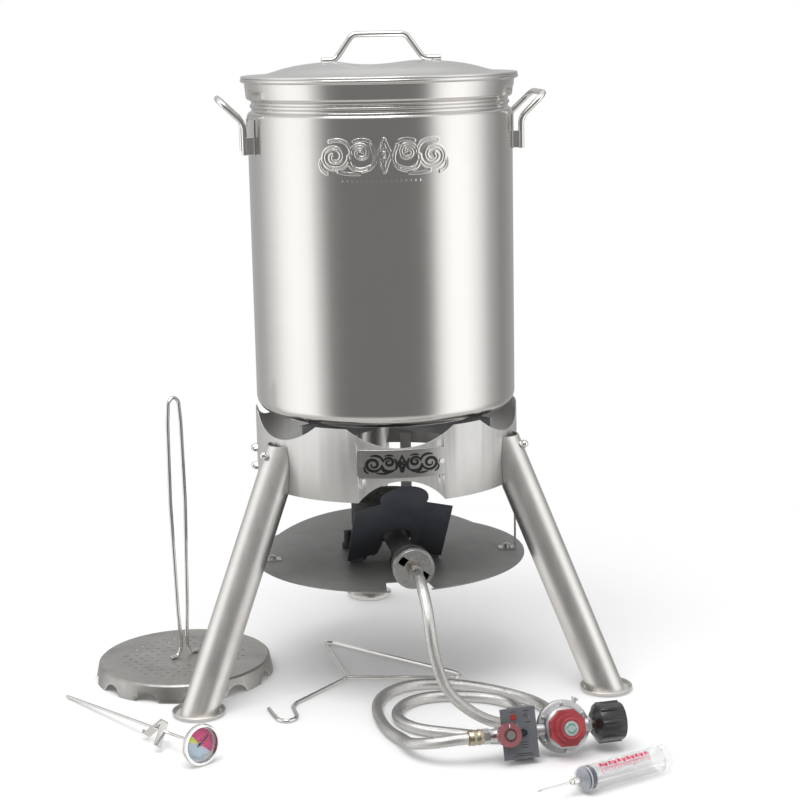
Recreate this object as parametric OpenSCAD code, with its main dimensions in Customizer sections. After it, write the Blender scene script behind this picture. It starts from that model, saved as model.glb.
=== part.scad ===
// Outdoor turkey fryer kit: tall pot with domed lid, three-legged burner
// stand, gas hose with regulator, and four loose accessories.
// Millimetres, +Z up, origin on the stand's axis at floor level.
// The burner's air tube and the name plate face -Y.

/* [Pot] */
// Outer radius of the pot's straight wall
pot_r = 178; // [172:0.5:178]
// Height of the pot's underside above the floor
pot_base_z = 377; // [376:0.5:380]
// Height of the pot's rim above the floor
rim_z = 825; // [800:1:840]
// Thickness of the pot's sheet
pot_wall = 1.2; // [1:0.1:2]
// Depth of the ring groove below the collar
groove_depth = 6; // [4:0.5:8]

/* [Lid] */
// Height of the uncut dome above the flange
lid_rise = 22.6; // [20:0.2:26]
// Depth of the hand trough across the dome
trough_depth = 10.2; // [8:0.2:12]

/* [Stand] */
// Outer radius of the windscreen band
band_r = 180.4; // [180:0.2:182]
// Height of the band's lower edge
band_z0 = 280; // [275:1:285]
// Height of the band's tooth tops
band_z1 = 378; // [376:1:380]
// Radius of the circle through the feet
foot_circle_r = 318; // [300:1:330]
// Radius of the leg tubes
leg_r = 24; // [20:0.5:25]
// Inward lean of a leg, per millimetre of height
leg_lean = 0.438; // [0.40:0.002:0.45]
// Height where the legs are cut off
leg_top_z = 345; // [340:1:350]

/* [Burner] */
// Turn of the burner, pan and shield about the stand's axis
burner_turn = 2.4; // [0:0.2:4]
// Height of the air tube's axis
tube_z = 200; // [196:1:204]
// Radius of the heat pan
pan_r = 190; // [184:1:194]
// Height of the heat pan's underside
pan_z = 162; // [158:1:164]

/* [Hose and regulator] */
// Diameter of the gas hose
hose_d = 14.5; // [12:0.5:15]
// Height of the regulator chain's axis
chain_z = 34; // [34:0.5:38]
// Backward lean of the regulator chain
chain_lean = 18; // [10:1:20]
// Turn of the regulator chain about the vertical
chain_turn = 8; // [0:1:12]

/* [Accessories] */
// Radius of the poultry rack's plate
rack_r = 119; // [110:1:122]
// Length of the thermometer's stem
stem_len = 305; // [280:1:310]
// Outer radius of the injector's barrel
barrel_r = 15.4; // [13:0.2:16]

/* [Hidden] */
$fn = 64;

steel = [0.74, 0.73, 0.71];
bright = [0.82, 0.82, 0.81];
grey = [0.45, 0.45, 0.46];
dark = [0.22, 0.22, 0.24];
zinc = [0.55, 0.56, 0.58];
brass = [0.72, 0.60, 0.36];

band_t = 1.6;
sheet_t = 1.6;
pan_top = pan_z + sheet_t;
leg_tilt = atan(leg_lean);
bolt_z = 322;
bolt_along = bolt_z / cos(leg_tilt);
scallop_r = 110.5;
scallop_low = 353;
fold_y = 122;
fold_up = 14;
hose_r = hose_d / 2;

// Route of the gas hose's centreline, from the burner to the valve
hose_path = [
  [10, -234, 200], [11, -260, 198], [12, -284, 189.5], [14, -302.5, 173], [16, -314, 148], [20, -318, 120],
  [27, -318, 93], [38, -315, 68], [56, -311, 47.5], [78.5, -306, 29.5], [104, -298.5, 16.5], [126, -282.5, 10],
  [139.5, -258.5, 7.4], [142, -232.5, 7.4], [133.5, -208, 7.4], [113, -187.5, 7.4], [87, -176, 7.4],
  [60.5, -169.5, 7.4], [34, -169, 7.4], [8.5, -179, 7.4], [-10, -199.5, 7.4], [-18.5, -225.5, 7.4],
  [-14, -253.5, 7.4], [2.5, -278, 7.4], [27.5, -293.5, 7.4], [53, -305.5, 7.4], [80, -318, 7.4],
  [108, -324, 7.4], [135, -321, 7.4], [158, -308, 7.4], [174, -287, 7.4], [180, -261, 7.4], [177, -233, 7.4],
  [165, -206, 7.4], [146, -182, 7.4], [122, -159, 7.4], [95, -139, 7.4], [66, -124, 7.4], [35, -118, 7.4],
  [5, -123, 7.4], [-19, -141, 7.4], [-35, -168, 7.4], [-42, -200, 7.4], [-42, -233, 7.4], [-38, -266, 7.4],
  [-30, -297, 9], [-21.5, -323, 12], [-16.5, -346.5, 16.5], [-4, -368.5, 23.5], [16, -382.5, 29.5],
  [34.5, -387, 33], [51.2, -387, 34]];

// ---------- small helpers ----------

function unit(v) = v / norm(v);
function tangent_at(p, i, first, last) =
  i == 0 ? unit(first) : i == len(p) - 1 ? unit(last) : unit(p[i + 1] - p[i - 1]);
function carried(u, t) = unit(u - (u * t) * t);
// side vectors carried along the path without twist
function sides(p, first, last, i = 0, u = [0, 0, 1]) =
  i == len(p) ? [] :
  let (t = tangent_at(p, i, first, last), v = carried(u, t)) concat([v], sides(p, first, last, i + 1, v));

// tube of radius r and n sides swept along points p
module swept_tube(p, r, n, first, last) {
  s = sides(p, first, last);
  pts = [for (i = [0:len(p) - 1]) let (t = tangent_at(p, i, first, last), u = s[i], w = cross(t, u))
    for (k = [0:n - 1]) p[i] + r * (cos(360 * k / n) * u + sin(360 * k / n) * w)];
  rings = len(p);
  walls = [for (i = [0:rings - 2]) for (k = [0:n - 1])
    [i * n + k, i * n + (k + 1) % n, (i + 1) * n + (k + 1) % n, (i + 1) * n + k]];
  polyhedron(points = pts, faces = concat([[for (k = [0:n - 1]) k]],
    [for (f = walls) [f[3], f[2], f[1], f[0]]], [[for (k = [n - 1:-1:0]) (rings - 1) * n + k]]));
}

// straight round bar between two points
module bar(a, b, r) {
  v = b - a;
  translate(a) rotate([0, acos(v[2] / norm(v)), atan2(v[1], v[0])]) cylinder(r = r, h = norm(v), $fn = 32);
}

// bent rod through points p, with a ball at each bend
module bent_rod(p, r) {
  for (i = [0:len(p) - 2]) bar(p[i], p[i + 1], r);
  for (i = [1:len(p) - 2]) translate(p[i]) sphere(r = r * 1.015, $fn = 32);
}

module ring(r1, r0, h) {
  difference() { cylinder(r = r1, h = h); translate([0, 0, -1]) cylinder(r = r0, h = h + 2); }
}

// cylinder pointing to -Y from y = -a0 to y = -a1
module forward(a0, a1, r) { translate([0, -a0, 0]) rotate([90, 0, 0]) cylinder(r = r, h = a1 - a0); }

// places children at azimuth a, measured from -Y towards +X
module at_az(a) { rotate([0, 0, a]) children(); }
module in_burner() { rotate([0, 0, burner_turn]) children(); }
module in_chain() { translate([172, -370, chain_z]) rotate([0, 0, chain_turn]) rotate([-chain_lean, 0, 0]) children(); }
// chain-frame cylinder facing the viewer's side, from depth n0 to n1
module facing(x, z, n0, n1, r) { translate([x, -n0, z]) rotate([90, 0, 0]) cylinder(r = r, h = n1 - n0); }
// chain-frame cylinder along the chain
module along(x0, x1, r) { translate([x0, 0, 0]) rotate([0, 90, 0]) cylinder(r = r, h = x1 - x0); }
module along_hex(x0, x1, r) { translate([x0, 0, 0]) rotate([0, 90, 0]) cylinder(r = r, h = x1 - x0, $fn = 6); }

// ---------- stand ----------

module windscreen_band() color(steel) difference() {
  translate([0, 0, band_z0]) ring(band_r, band_r - band_t, band_z1 - band_z0);
  for (a = [0:60:300]) at_az(a) translate([0, -150, scallop_low + scallop_r]) rotate([90, 0, 0])
    cylinder(r = scallop_r, h = 60, $fn = 96);
  translate([0, -150, 238.5]) rotate([90, 0, 0]) cylinder(r = 70.5, h = 60, $fn = 96);
  for (a = [-60, 60, 180]) at_az(a) leg_bolt_hole(3.2);
  for (z = [297, 322]) at_az(-90) translate([0, 0, z]) forward(150, 210, 3.2);
  for (a = [-17, 17]) at_az(a) translate([0, 0, 332.5]) forward(170, 190, 2);
}

module nameplate() color(bright) difference() {
  rotate([0, 0, -90 - 18.7]) rotate_extrude(angle = 37.4, $fn = 128) translate([band_r, 313.5]) square([0.9, 38]);
  for (a = [-17, 17]) at_az(a) translate([0, 0, 332.5]) forward(170, 190, 2);
}

module nameplate_rivets() color(bright) for (a = [-17, 17]) at_az(a) translate([0, 0, 332.5]) {
  forward(177.4, 182.0, 1.95);
  forward(181.4, 182.6, 3.4);
  forward(176.6, 178.4, 3.2);
}

module seam_bolts() color(bright) for (z = [297, 322]) at_az(-90) translate([0, 0, z]) {
  forward(176, 188, 3);
  translate([0, -180.5, 0]) rotate([90, 0, 0]) cylinder(r = 5.8, h = 4.2, $fn = 6);
  translate([0, -184.5, 0]) difference() { sphere(r = 4.9); translate([-10, 0.2, -10]) cube([20, 20, 20]); }
  translate([0, -174.4, 0]) rotate([90, 0, 0]) cylinder(r = 5.6, h = 4.2, $fn = 6);
}

module support_bar(a) intersection() {
  at_az(a) translate([-2, -200, 344.5]) cube([4, 400, 32]);
  translate([0, 0, 340]) cylinder(r = band_r - band_t, h = 40, $fn = 128);
}
module support_bar_long() color(grey) difference() {
  support_bar(45);
  at_az(-45) translate([-2, -40, 360.5]) cube([4, 80, 20]);
}
module support_bar_cross() color(grey) difference() {
  support_bar(-45);
  at_az(45) translate([-2, -40, 340]) cube([4, 80, 20.5]);
}

// frame of a leg tube: origin at the foot, +Z along the tube
module in_leg() { translate([0, -foot_circle_r, 0]) rotate([-leg_tilt, 0, 0]) children(); }
module leg_bolt_hole(r) { in_leg() translate([0, -40, bolt_along]) rotate([-90, 0, 0]) cylinder(r = r, h = 80); }

module leg() difference() {
  intersection() {
    in_leg() translate([0, 0, -20]) cylinder(r = leg_r, h = 440);
    translate([-60, -400, 1.8]) cube([120, 320, leg_top_z - 1.8]);
  }
  in_leg() translate([0, 0, -30]) cylinder(r = leg_r - 1.6, h = 460);
  translate([0, 0, band_z0 - 1]) difference() {
    cylinder(r = band_r + 0.3, h = 100, $fn = 128);
    translate([0, 0, -1]) cylinder(r = band_r - band_t - 0.3, h = 102, $fn = 128);
  }
  leg_bolt_hole(3.2);
}
module leg_left() color(steel) at_az(-60) leg();
module leg_right() color(steel) at_az(60) leg();
module leg_rear() color(steel) at_az(180) leg();

module leg_bolts() color(bright) for (a = [-60, 60, 180]) at_az(a) in_leg() translate([0, 0, bolt_along]) {
  translate([0, -30, 0]) rotate([-90, 0, 0]) cylinder(r = 3, h = 58);
  translate([0, -28.4, 0]) rotate([-90, 0, 0]) cylinder(r = 6.2, h = 4.3, $fn = 6);
  translate([0, -28.2, 0]) difference() { sphere(r = 5.4); translate([-10, 0.2, -10]) cube([20, 20, 20]); }
  translate([0, 24.1, 0]) rotate([-90, 0, 0]) cylinder(r = 5.8, h = 4, $fn = 6);
}

module feet() color(steel) for (a = [-60, 60, 180]) at_az(a) translate([0, -foot_circle_r, 0])
  rotate_extrude() polygon([[0, 0], [31.5, 0], [35.5, 5.4], [34.2, 6.2], [30.4, 1.8], [0, 1.8]]);

// ---------- heat pan, hangers, shield ----------

module pan_hole(x, y) { translate([x, y, pan_z - 10]) cylinder(r = 3.2, h = 30); }

hanger_az = [-85, 85, 165];
module heat_pan() color(grey) difference() {
  union() {
    in_burner() difference() {
      translate([0, 0, pan_z]) cylinder(r = pan_r, h = sheet_t, $fn = 128);
      translate([-250, fold_y + 1, pan_z - 5]) cube([500, 200, 20]);
    }
    in_burner() translate([0, fold_y, pan_z]) rotate([fold_up, 0, 0]) translate([0, -fold_y, 0]) intersection() {
      cylinder(r = pan_r, h = sheet_t, $fn = 128);
      translate([-250, fold_y, -5]) cube([500, 200, 20]);
    }
  }
  in_burner() translate([0, 0, pan_z - 5]) linear_extrude(20)
    polygon([[-28, -260], [-27.5, -186], [-32, -186], [-27, -146], [27, -146], [32, -186], [27.5, -186], [28, -260]]);
  for (a = hanger_az) at_az(a) pan_hole(0, -166);
  in_burner() for (a = [0, 120, 240]) at_az(a) pan_hole(0, -62);
  in_burner() for (x = [-53, 53]) pan_hole(x, -26);
}

module on_flap() { in_burner() translate([0, fold_y, pan_z]) rotate([fold_up, 0, 0]) children(); }
module hanger_strap(a) at_az(a) translate([0, 0, pan_top]) rotate([0, 0, -90 - 2.6])
  rotate_extrude(angle = 5.2, $fn = 128) translate([band_r - band_t - 1.6, 0]) square([1.6, 132]);
module pan_hangers() color(steel) {
  for (a = [-85, 85]) difference() {
    union() {
      hanger_strap(a);
      at_az(a) translate([-8, -178, pan_top]) cube([16, 24, 1.6]);
    }
    at_az(a) pan_hole(0, -166);
  }
  difference() {
    union() {
      hanger_strap(165);
      on_flap() translate([41.7, 28, sheet_t]) cube([16, 30, 1.6]);
    }
    on_flap() translate([-20, -20, -60]) cube([120, 120, 60 + sheet_t]);
    at_az(165) translate([0, -166, pan_z]) cylinder(r = 3.2, h = 24);
    difference() {
      translate([0, 0, pan_z]) cylinder(r = 220, h = 50, $fn = 128);
      translate([0, 0, pan_z - 1]) cylinder(r = band_r - band_t, h = 52, $fn = 128);
    }
  }
}

module pan_bolt(x, y, top) translate([x, y, 0]) {
  translate([0, 0, pan_z - 2.6]) cylinder(r = 5.6, h = 2.6);
  translate([0, 0, pan_z - 1]) cylinder(r = 3, h = top - pan_z + 1);
}
module pan_bolts() color(bright) {
  for (a = [-85, 85]) at_az(a) {
    pan_bolt(0, -166, pan_top + 7);
    translate([0, -166, pan_top + 1.6]) cylinder(r = 5.6, h = 4, $fn = 6);
  }
  at_az(165) translate([0, -166, pan_z]) {
    translate([0, 0, 4.8]) cylinder(r = 5.6, h = 2.6);
    translate([0, 0, 7]) cylinder(r = 3, h = 17);
    translate([0, 0, 14.8]) cylinder(r = 5.6, h = 4, $fn = 6);
  }
  in_burner() for (a = [0, 120, 240]) at_az(a) pan_bolt(0, -62, pan_top + 12);
  in_burner() for (x = [-53, 53]) {
    pan_bolt(x, -26, pan_top + 7);
    translate([x, -26, pan_top + 1.6]) cylinder(r = 5.6, h = 4, $fn = 6);
  }
}

module shield_wing() rotate([0, -10, 0]) linear_extrude(1.5)
  polygon([[-1, 12], [8, 12], [10, 3], [36.5, 9.5], [36.5, 143], [0, 147], [-1, 147]]);
module heat_shield() color(dark) in_burner() {
  translate([0, -35.1, pan_top + 1.5]) rotate([135, 0, 0]) {
    linear_extrude(1.5) difference() {
      union() { translate([-30, 0]) square([60, 147]); translate([0, 158]) circle(r = 32, $fn = 96); }
      translate([0, 60]) circle(r = 19.5, $fn = 64);
      polygon([[-40, -1], [-40, 4], [-30, 8], [-24, 16], [-19.5, 40], [-19.5, 60], [19.5, 60], [19.5, 40],
        [24, 16], [30, 8], [40, 4], [40, -1]]);
    }
    translate([30, 0, 0]) shield_wing();
    mirror([1, 0, 0]) translate([30, 0, 0]) shield_wing();
  }
  for (s = [-1, 1]) difference() {
    union() {
      translate([s * 53 - 9, -46, pan_top]) cube([18, 32, 1.6]);
      translate([s * 53 - 9, -46.5, pan_top]) cube([18, 2.2, 7]);
    }
    pan_hole(s * 53, -26);
  }
}

// ---------- burner ----------

module burner_casting() color(dark) in_burner() difference() {
  union() {
    rotate_extrude($fn = 96) polygon([[0, 184], [24, 184], [44, 192], [52, 204], [52, 240], [46, 240], [46, 208],
      [38, 198], [22, 192], [0, 192]]);
    translate([0, 0, 184]) cylinder(r = 7, h = 54, $fn = 48);
    translate([0, 0, tube_z]) rotate([90, 0, 0]) rotate_extrude($fn = 64) polygon([[12, 42], [15, 42], [15, 150],
      [16.5, 164], [20, 176], [25, 185], [26.2, 190], [26.2, 210], [23.6, 210], [23.6, 190], [17.5, 178],
      [13.5, 164], [12, 150]]);
    for (a = [0, 120, 240]) at_az(a) {
      translate([0, -62, pan_top]) cylinder(r = 9, h = 7, $fn = 48);
      translate([0, -62, pan_top]) cylinder(r = 6.5, h = 24, $fn = 48);
      translate([-4, -62, 180]) cube([8, 38, 9]);
    }
    translate([-25, -210, tube_z - 4]) cube([50, 12, 8]);
    translate([0, 0, tube_z]) forward(196, 210, 9);
  }
  translate([0, 0, tube_z]) forward(40, 56, 12);
  translate([0, 0, tube_z]) forward(190, 215, 5.05);
  for (a = [0, 120, 240]) at_az(a) translate([0, -62, 150]) cylinder(r = 3, h = 32);
}

module burner_cap() color(dark) in_burner() difference() {
  union() {
    translate([0, 0, 240]) cylinder(r = 52, h = 5, $fn = 96);
    translate([0, 0, 245]) cylinder(r1 = 50, r2 = 30, h = 3, $fn = 96);
    translate([0, 0, 235]) ring(45.7, 42, 6);
  }
  translate([0, 0, 230]) cylinder(r = 42, h = 10);
  for (k = [0:7]) rotate([0, 0, k * 45]) translate([16, 0, 236]) cylinder(r = 1.8, h = 20, $fn = 16);
  for (k = [0:13]) rotate([0, 0, k * 360 / 14]) translate([29, 0, 236]) cylinder(r = 1.8, h = 20, $fn = 16);
  for (k = [0:19]) rotate([0, 0, k * 18]) translate([39, 0, 236]) cylinder(r = 1.8, h = 20, $fn = 16);
}

module shutter_window(a) translate([0, -205, tube_z]) rotate([90, 0, 0]) rotate([0, 0, a]) intersection() {
  translate([0, 0, 0]) ring(22.5, 13, 20);
  translate([0, -5.5, -1]) cube([30, 11, 24]);
}
module air_shutter() color(steel) in_burner() difference() {
  union() {
    translate([0, 0, tube_z]) forward(211, 213, 27.2);
    difference() { translate([0, 0, tube_z]) forward(204, 212, 27.2); translate([0, 0, tube_z]) forward(200, 211, 26.6); }
    translate([0, 0, tube_z]) forward(212, 213.8, 25);
  }
  translate([0, 0, tube_z]) forward(200, 220, 5.6);
  shutter_window(-38);
  shutter_window(142);
}

module orifice_fitting() color(brass) in_burner() {
  translate([0, 0, tube_z]) forward(198, 212, 5);
  translate([0, 0, tube_z]) forward(210, 215, 5.2);
  translate([0, -214.2, tube_z]) rotate([90, 0, 0]) cylinder(r = 9, h = 7.3, $fn = 6);
}
module inlet_ferrule() color(bright) in_burner() translate([0, 0, tube_z]) {
  forward(221.5, 234.2, 8.6);
  forward(225, 227, 9);
  forward(229, 231, 9);
}

// ---------- hose, valve, timer, regulator ----------

module gas_hose() color(bright) swept_tube(hose_path, hose_r, 10,
  [sin(burner_turn), -cos(burner_turn), 0], [cos(chain_turn), sin(chain_turn), 0]);

module outlet_ferrule() color(grey) in_chain() {
  along(-122, -104, 9.2);
  along(-118, -115, 9.7);
  along(-110, -107, 9.7);
}

module valve_body() color(brass) in_chain() difference() {
  union() {
    along_hex(-104, -96, 9.5);
    along(-96, -66, 8);
    translate([-86, -9, -9.5]) cube([20, 18, 19]);
    facing(-76, 0, 8, 11.9, 7);
  }
  facing(-76, 0, 0, 14, 4.1);
}
module valve_stem() color(brass) in_chain() difference() {
  union() { facing(-76, 0, 0.5, 26, 4.02); facing(-76, 0, 26.2, 28.4, 5.4); facing(-76, 0, 25, 27, 3); }
  translate([-82, -29, -0.6]) cube([12, 1.3, 1.2]);
}
module valve_knob() color([0.55, 0.25, 0.28]) in_chain() difference() {
  union() {
    facing(-76, 0, 15.5, 26, 14.4);
    for (k = [0:15]) translate([-76, -16, 0]) rotate([90, 0, 0]) rotate([0, 0, k * 22.5]) translate([13.9, 0, 0])
      cylinder(r = 1.3, h = 9.4, $fn = 16);
  }
  facing(-76, 0, 10, 30, 4.06);
  facing(-76, 0, 24, 30, 8);
}
module timer_housing() color(grey) in_chain() difference() {
  translate([-65.9, -12, -31]) cube([27.9, 24, 62]);
  facing(-55.5, 0, 2, 14, 4.5);
}
module timer_plate() color(grey) in_chain() difference() {
  translate([-83, -13.5, -31]) cube([45, 1.5, 62]);
  facing(-76, 0, 8, 18, 4.8);
  facing(-55.5, 0, 8, 18, 4.5);
  for (x = [-66.6, -50.3]) facing(x, 20, 8, 18, 3);
}
module timer_button() color(dark) in_chain() { facing(-55.5, 0, 5.5, 17, 4.2); facing(-55.5, 0, 16.5, 18, 3.5); }
module indicator(x) { facing(x, 20, 12, 14.2, 3); facing(x, 20, 13.5, 14.6, 3.9); }
module red_lens() color([0.7, 0.1, 0.1]) in_chain() indicator(-66.6);
module clear_lens() color([0.8, 0.85, 0.9]) in_chain() indicator(-50.3);

// disc profile revolved about the line facing the viewer's side
module faced(profile, fn = 96) { rotate([90, 0, 0]) rotate_extrude($fn = fn) polygon(profile); }

module regulator_body() color(zinc) in_chain() difference() {
  union() {
    faced([[0, -19], [13, -19], [15, -17], [16, -10], [27, -7], [33.5, -5], [33.5, -1], [30, -1], [26, -5], [0, -6]]);
    along(-38, -14, 8);
    along(14, 34, 9);
    along_hex(31, 35, 10.5);
  }
  along(22, 40, 6);
  vent_way();
}
// what passes the rim of the regulator's housing
module vent_way() { rotate([0, -60, 0]) along(30, 42, 3.02); }
module body_necks(g) { along(-42, -10, 8 + g); along(10, 36, 9 + g); along_hex(30.9, 40, 10.5 + g); }
module regulator_diaphragm() color([0.15, 0.15, 0.15]) in_chain() difference() {
  facing(0, 0, -1, -0.2, 33);
  body_necks(0.02);
  vent_way();
}
module regulator_bonnet() color(zinc) in_chain() difference() {
  faced([[33.5, -0.2], [33.9, 0.5], [33.5, 2.5], [31, 3.4], [27, 4.2], [25.5, 9], [22, 12], [8.4, 12], [8.4, 8],
    [20, 8], [23, 4], [25, 1.5], [29, 0.6], [30, -0.2]]);
  body_necks(0.02);
  vent_way();
}
module regulator_spring() color(bright) in_chain() rotate([90, 0, 0])
  for (k = [0:2]) translate([0, 0, 1.2 + k]) rotate_extrude() translate([5.6, 0]) circle(r = 0.6, $fn = 24);
module regulator_vent() color(bright) in_chain() rotate([0, -60, 0]) { along(32, 38, 3); along(37, 39.5, 4.2); }

module pressure_knob() color([0.72, 0.22, 0.24]) in_chain() difference() {
  union() {
    translate([0, -12.6, 0]) rotate([90, 0, 0]) rotate([0, 0, 22.5]) cylinder(r = 24.2, h = 9, $fn = 8);
    facing(0, 0, 21, 29, 17.5);
    facing(0, 0, 28, 33.5, 13.4);
    facing(0, 0, 4.2, 14, 8);
  }
  facing(0, 0, 32.3, 35, 9.4);
}
module pressure_knob_cap() color(zinc) in_chain() facing(0, 0, 32.3, 33.2, 9.3);

module inlet_nipple() color(brass) in_chain() difference() {
  union() { along(22, 40, 5.95); along(39, 49.6, 7.6); along(45.4, 48.4, 12); }
  along(20, 70, 2.6);
}
module coupling_nut() color([0.12, 0.12, 0.13]) in_chain() difference() {
  union() {
    along(44, 75, 23.6);
    translate([38, 0, 0]) rotate([0, 90, 0]) cylinder(r1 = 14, r2 = 23.6, h = 6.5);
    along(74, 77, 22.4);
    for (k = [0:7]) rotate([k * 45, 0, 0]) translate([45, 0, 21.6]) rotate([0, 90, 0]) cylinder(r = 4, h = 29, $fn = 32);
  }
  along(30, 80, 8);
  along(45, 80, 12.6);
  along(50, 80, 17);
}

// ---------- pot and lid ----------

corner = [for (k = [0:8]) [pot_r - 20 + 20 * sin(k * 11.25), pot_base_z + 20 - 20 * cos(k * 11.25)]];
g = groove_depth;
upper = [[pot_r, rim_z - 49], [pot_r - 1.6, rim_z - 46], [pot_r - g, rim_z - 43.4], [pot_r - g - 0.2, rim_z - 41],
  [pot_r - g + 2, rim_z - 38.4], [pot_r - g + 2.2, rim_z - 36.2], [pot_r - g - 0.2, rim_z - 33.6],
  [pot_r - g + 0.4, rim_z - 31], [pot_r - 0.6, rim_z - 28.6], [pot_r + 0.6, rim_z - 26.4], [pot_r + 3, rim_z - 6],
  [pot_r + 4.4, rim_z - 3.6]];
outer = concat([[0, pot_base_z]], corner, upper);
function inset(p) = [for (q = p) [q[0] - pot_wall, q[1]]];
inner = concat([for (k = [len(upper) - 1:-1:0]) [upper[k][0] - pot_wall, upper[k][1]]],
  [for (k = [8:-1:0]) [pot_r - 20 + (20 - pot_wall) * sin(k * 11.25), pot_base_z + 20 - (20 - pot_wall) * cos(k * 11.25)]],
  [[0, pot_base_z + pot_wall]]);
module pot_shell() color(steel) {
  rotate_extrude($fn = 128) polygon(concat(outer, inner));
  translate([0, 0, rim_z - 2.5]) rotate_extrude($fn = 128) translate([pot_r + 5, 0]) circle(r = 2.6, $fn = 32);
}

module handle_bracket() {
  translate([0, 0, 726]) rotate([0, 0, -17]) rotate_extrude(angle = 34, $fn = 128) translate([pot_r, 0]) square([1.5, 46]);
  for (s = [-1, 1]) difference() {
    translate([170, s * 47 - 4, 727]) cube([11.2, 8, 22]);
    translate([0, 0, 700]) cylinder(r = pot_r + 0.75, h = 100, $fn = 128);
    translate([184, s * 47, 700]) cylinder(r = 4.02, h = 80);
  }
}
module handle_brackets() color(steel) { handle_bracket(); rotate([0, 0, 180]) handle_bracket(); }

side_grip = [[184, 47, 726], [184, 47, 764], [187, 47, 771], [206, 46, 788], [212, 42, 794], [215, 34, 797],
  [215, -34, 797], [212, -42, 794], [206, -46, 788], [187, -47, 771], [184, -47, 764], [184, -47, 726]];
module pot_handle_right() color(bright) bent_rod(side_grip, 4);
module pot_handle_left() color(bright) rotate([0, 0, 180]) bent_rod(side_grip, 4);

flange_z = rim_z + 0.4;
crest_z = flange_z + lid_rise;
dome_r = 600;
trough_r = 190;
module dome_solid(drop, r, low) difference() {
  intersection() {
    translate([0, 0, crest_z - dome_r]) sphere(r = dome_r - drop, $fn = 256);
    translate([0, 0, flange_z - low]) cylinder(r = r, h = 60, $fn = 128);
  }
  translate([0, 200, crest_z - trough_depth + trough_r]) rotate([90, 0, 0]) cylinder(r = trough_r + drop, h = 400, $fn = 128);
}
module lid_shell() color(steel) {
  difference() { dome_solid(0, 151, 0); dome_solid(1.2, 152, 10); }
  translate([0, 0, flange_z]) rotate_extrude($fn = 128) polygon([[149.6, 1.75], [172, 0], [176, 0], [176, -13],
    [177.2, -13.6], [177.4, 0], [184, 0], [184.6, 0.6], [184, 1.4], [172, 1.4], [149.6, 3]]);
}
foot_z = crest_z + 1;
lid_grip = [[84, 0, foot_z], [62, 0, foot_z], [57, 0, foot_z + 3], [40, 0, foot_z + 26.5], [33, 0, foot_z + 31.5],
  [-33, 0, foot_z + 31.5], [-40, 0, foot_z + 26.5], [-57, 0, foot_z + 3], [-62, 0, foot_z], [-84, 0, foot_z]];
module lid_handle() color(bright) bent_rod(lid_grip, 4);

// ---------- poultry rack ----------

rack_at = [-293, 6, 0];
module rack_plate() color(steel) translate(rack_at) difference() {
  rotate_extrude($fn = 128) polygon([[0, 22.5], [rack_r - 3, 22.5], [rack_r - 1, 21], [rack_r + 3.4, 0], [rack_r + 5, 0],
    [rack_r + 0.6, 21.6], [rack_r - 2.4, 24], [0, 24]]);
  for (k = [0:11]) rotate([0, 0, k * 30 + 5]) translate([0, -rack_r + 20, -5.5]) rotate([90, 0, 0])
    cylinder(r = 18, h = 60, $fn = 48);
  for (i = [-6:6], j = [-6:6]) let (x = i * 15 + (abs(j) % 2) * 7.5, y = j * 13)
    if (x * x + y * y < 86 * 86 && x * x + y * y > 27 * 27) translate([x, y, 20]) cylinder(r = 2.7, h = 10, $fn = 24);
}
rack_grip = [[23, 0, 26.7], [13, 0, 27.6], [6.5, 0, 34], [5, 0, 46], [8, 0, 90], [12.5, 0, 250], [11, 0, 360],
  [8.5, 0, 388], [4, 0, 397], [-4, 0, 397], [-8.5, 0, 388], [-11, 0, 360], [-12.5, 0, 250], [-8, 0, 90],
  [-5, 0, 46], [-6.5, 0, 34], [-13, 0, 27.6], [-23, 0, 26.7]];
module rack_handle() color(bright) translate(rack_at) rotate([0, 0, 36]) bent_rod(rack_grip, 2.6);

// ---------- lifting hook ----------

hook_z = 2.6;
hook_route = [[-183, -163], [-178, -186], [-174, -203], [-169, -211], [-161, -213], [-152, -208], [-147.5, -198],
  [-147.5, -186], [-151, -164], [-148, -154], [-142, -145], [-80, -74], [-72.5, -63], [-71, -50], [-87, 72],
  [-88, 85], [-84, 91], [-76, 87], [79, -63], [86, -72], [87, -82], [80, -87], [67, -86], [-55, -64.5],
  [-68.4, -62.2]];
module lifting_hook() color(bright) swept_tube([for (q = hook_route) [q[0], q[1], hook_z]], 2.5, 12,
  [0.21, -0.98, 0], [-0.98, 0.17, 0]);

// ---------- thermometer ----------

dial_at = [-275, -331, 26.1];
stem_az = 124.33;
stem_drop = 4.3;
module in_stem() { translate(dial_at) rotate([0, stem_drop, stem_az]) children(); }
module along_stem(x0, x1, r) { translate([x0, 0, 0]) rotate([0, 90, 0]) cylinder(r = r, h = x1 - x0); }
module thermometer_stem() color(bright) in_stem() {
  along_stem(7, 14, 4.5);
  along_stem(12, stem_len + 8, 2);
  translate([stem_len + 8, 0, 0]) rotate([0, 90, 0]) cylinder(r1 = 2, r2 = 0.5, h = 8);
}
module thermometer_case() color(bright) in_stem() rotate([0, 90, 0]) rotate_extrude($fn = 96)
  polygon([[0, 7], [10, 7], [22, 4], [25.6, 0], [26, -4], [25.2, -6], [22.4, -6.4], [22.2, -3.2], [23.4, -3.2],
    [23.4, 0.6], [0, 0.6]]);
module thermometer_dial() color([0.8, 0.84, 0.88]) in_stem() along_stem(0, 0.6, 23.2);
module thermometer_pointer() color([0.1, 0.1, 0.1]) in_stem() {
  along_stem(-1.6, -0.3, 2);
  rotate([60, 0, 0]) translate([-1.3, -0.7, -5]) cube([0.6, 1.4, 21]);
}
module thermometer_lens() color([0.9, 0.95, 1, 0.3]) in_stem() along_stem(-3.1, -2.3, 23.2);

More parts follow.
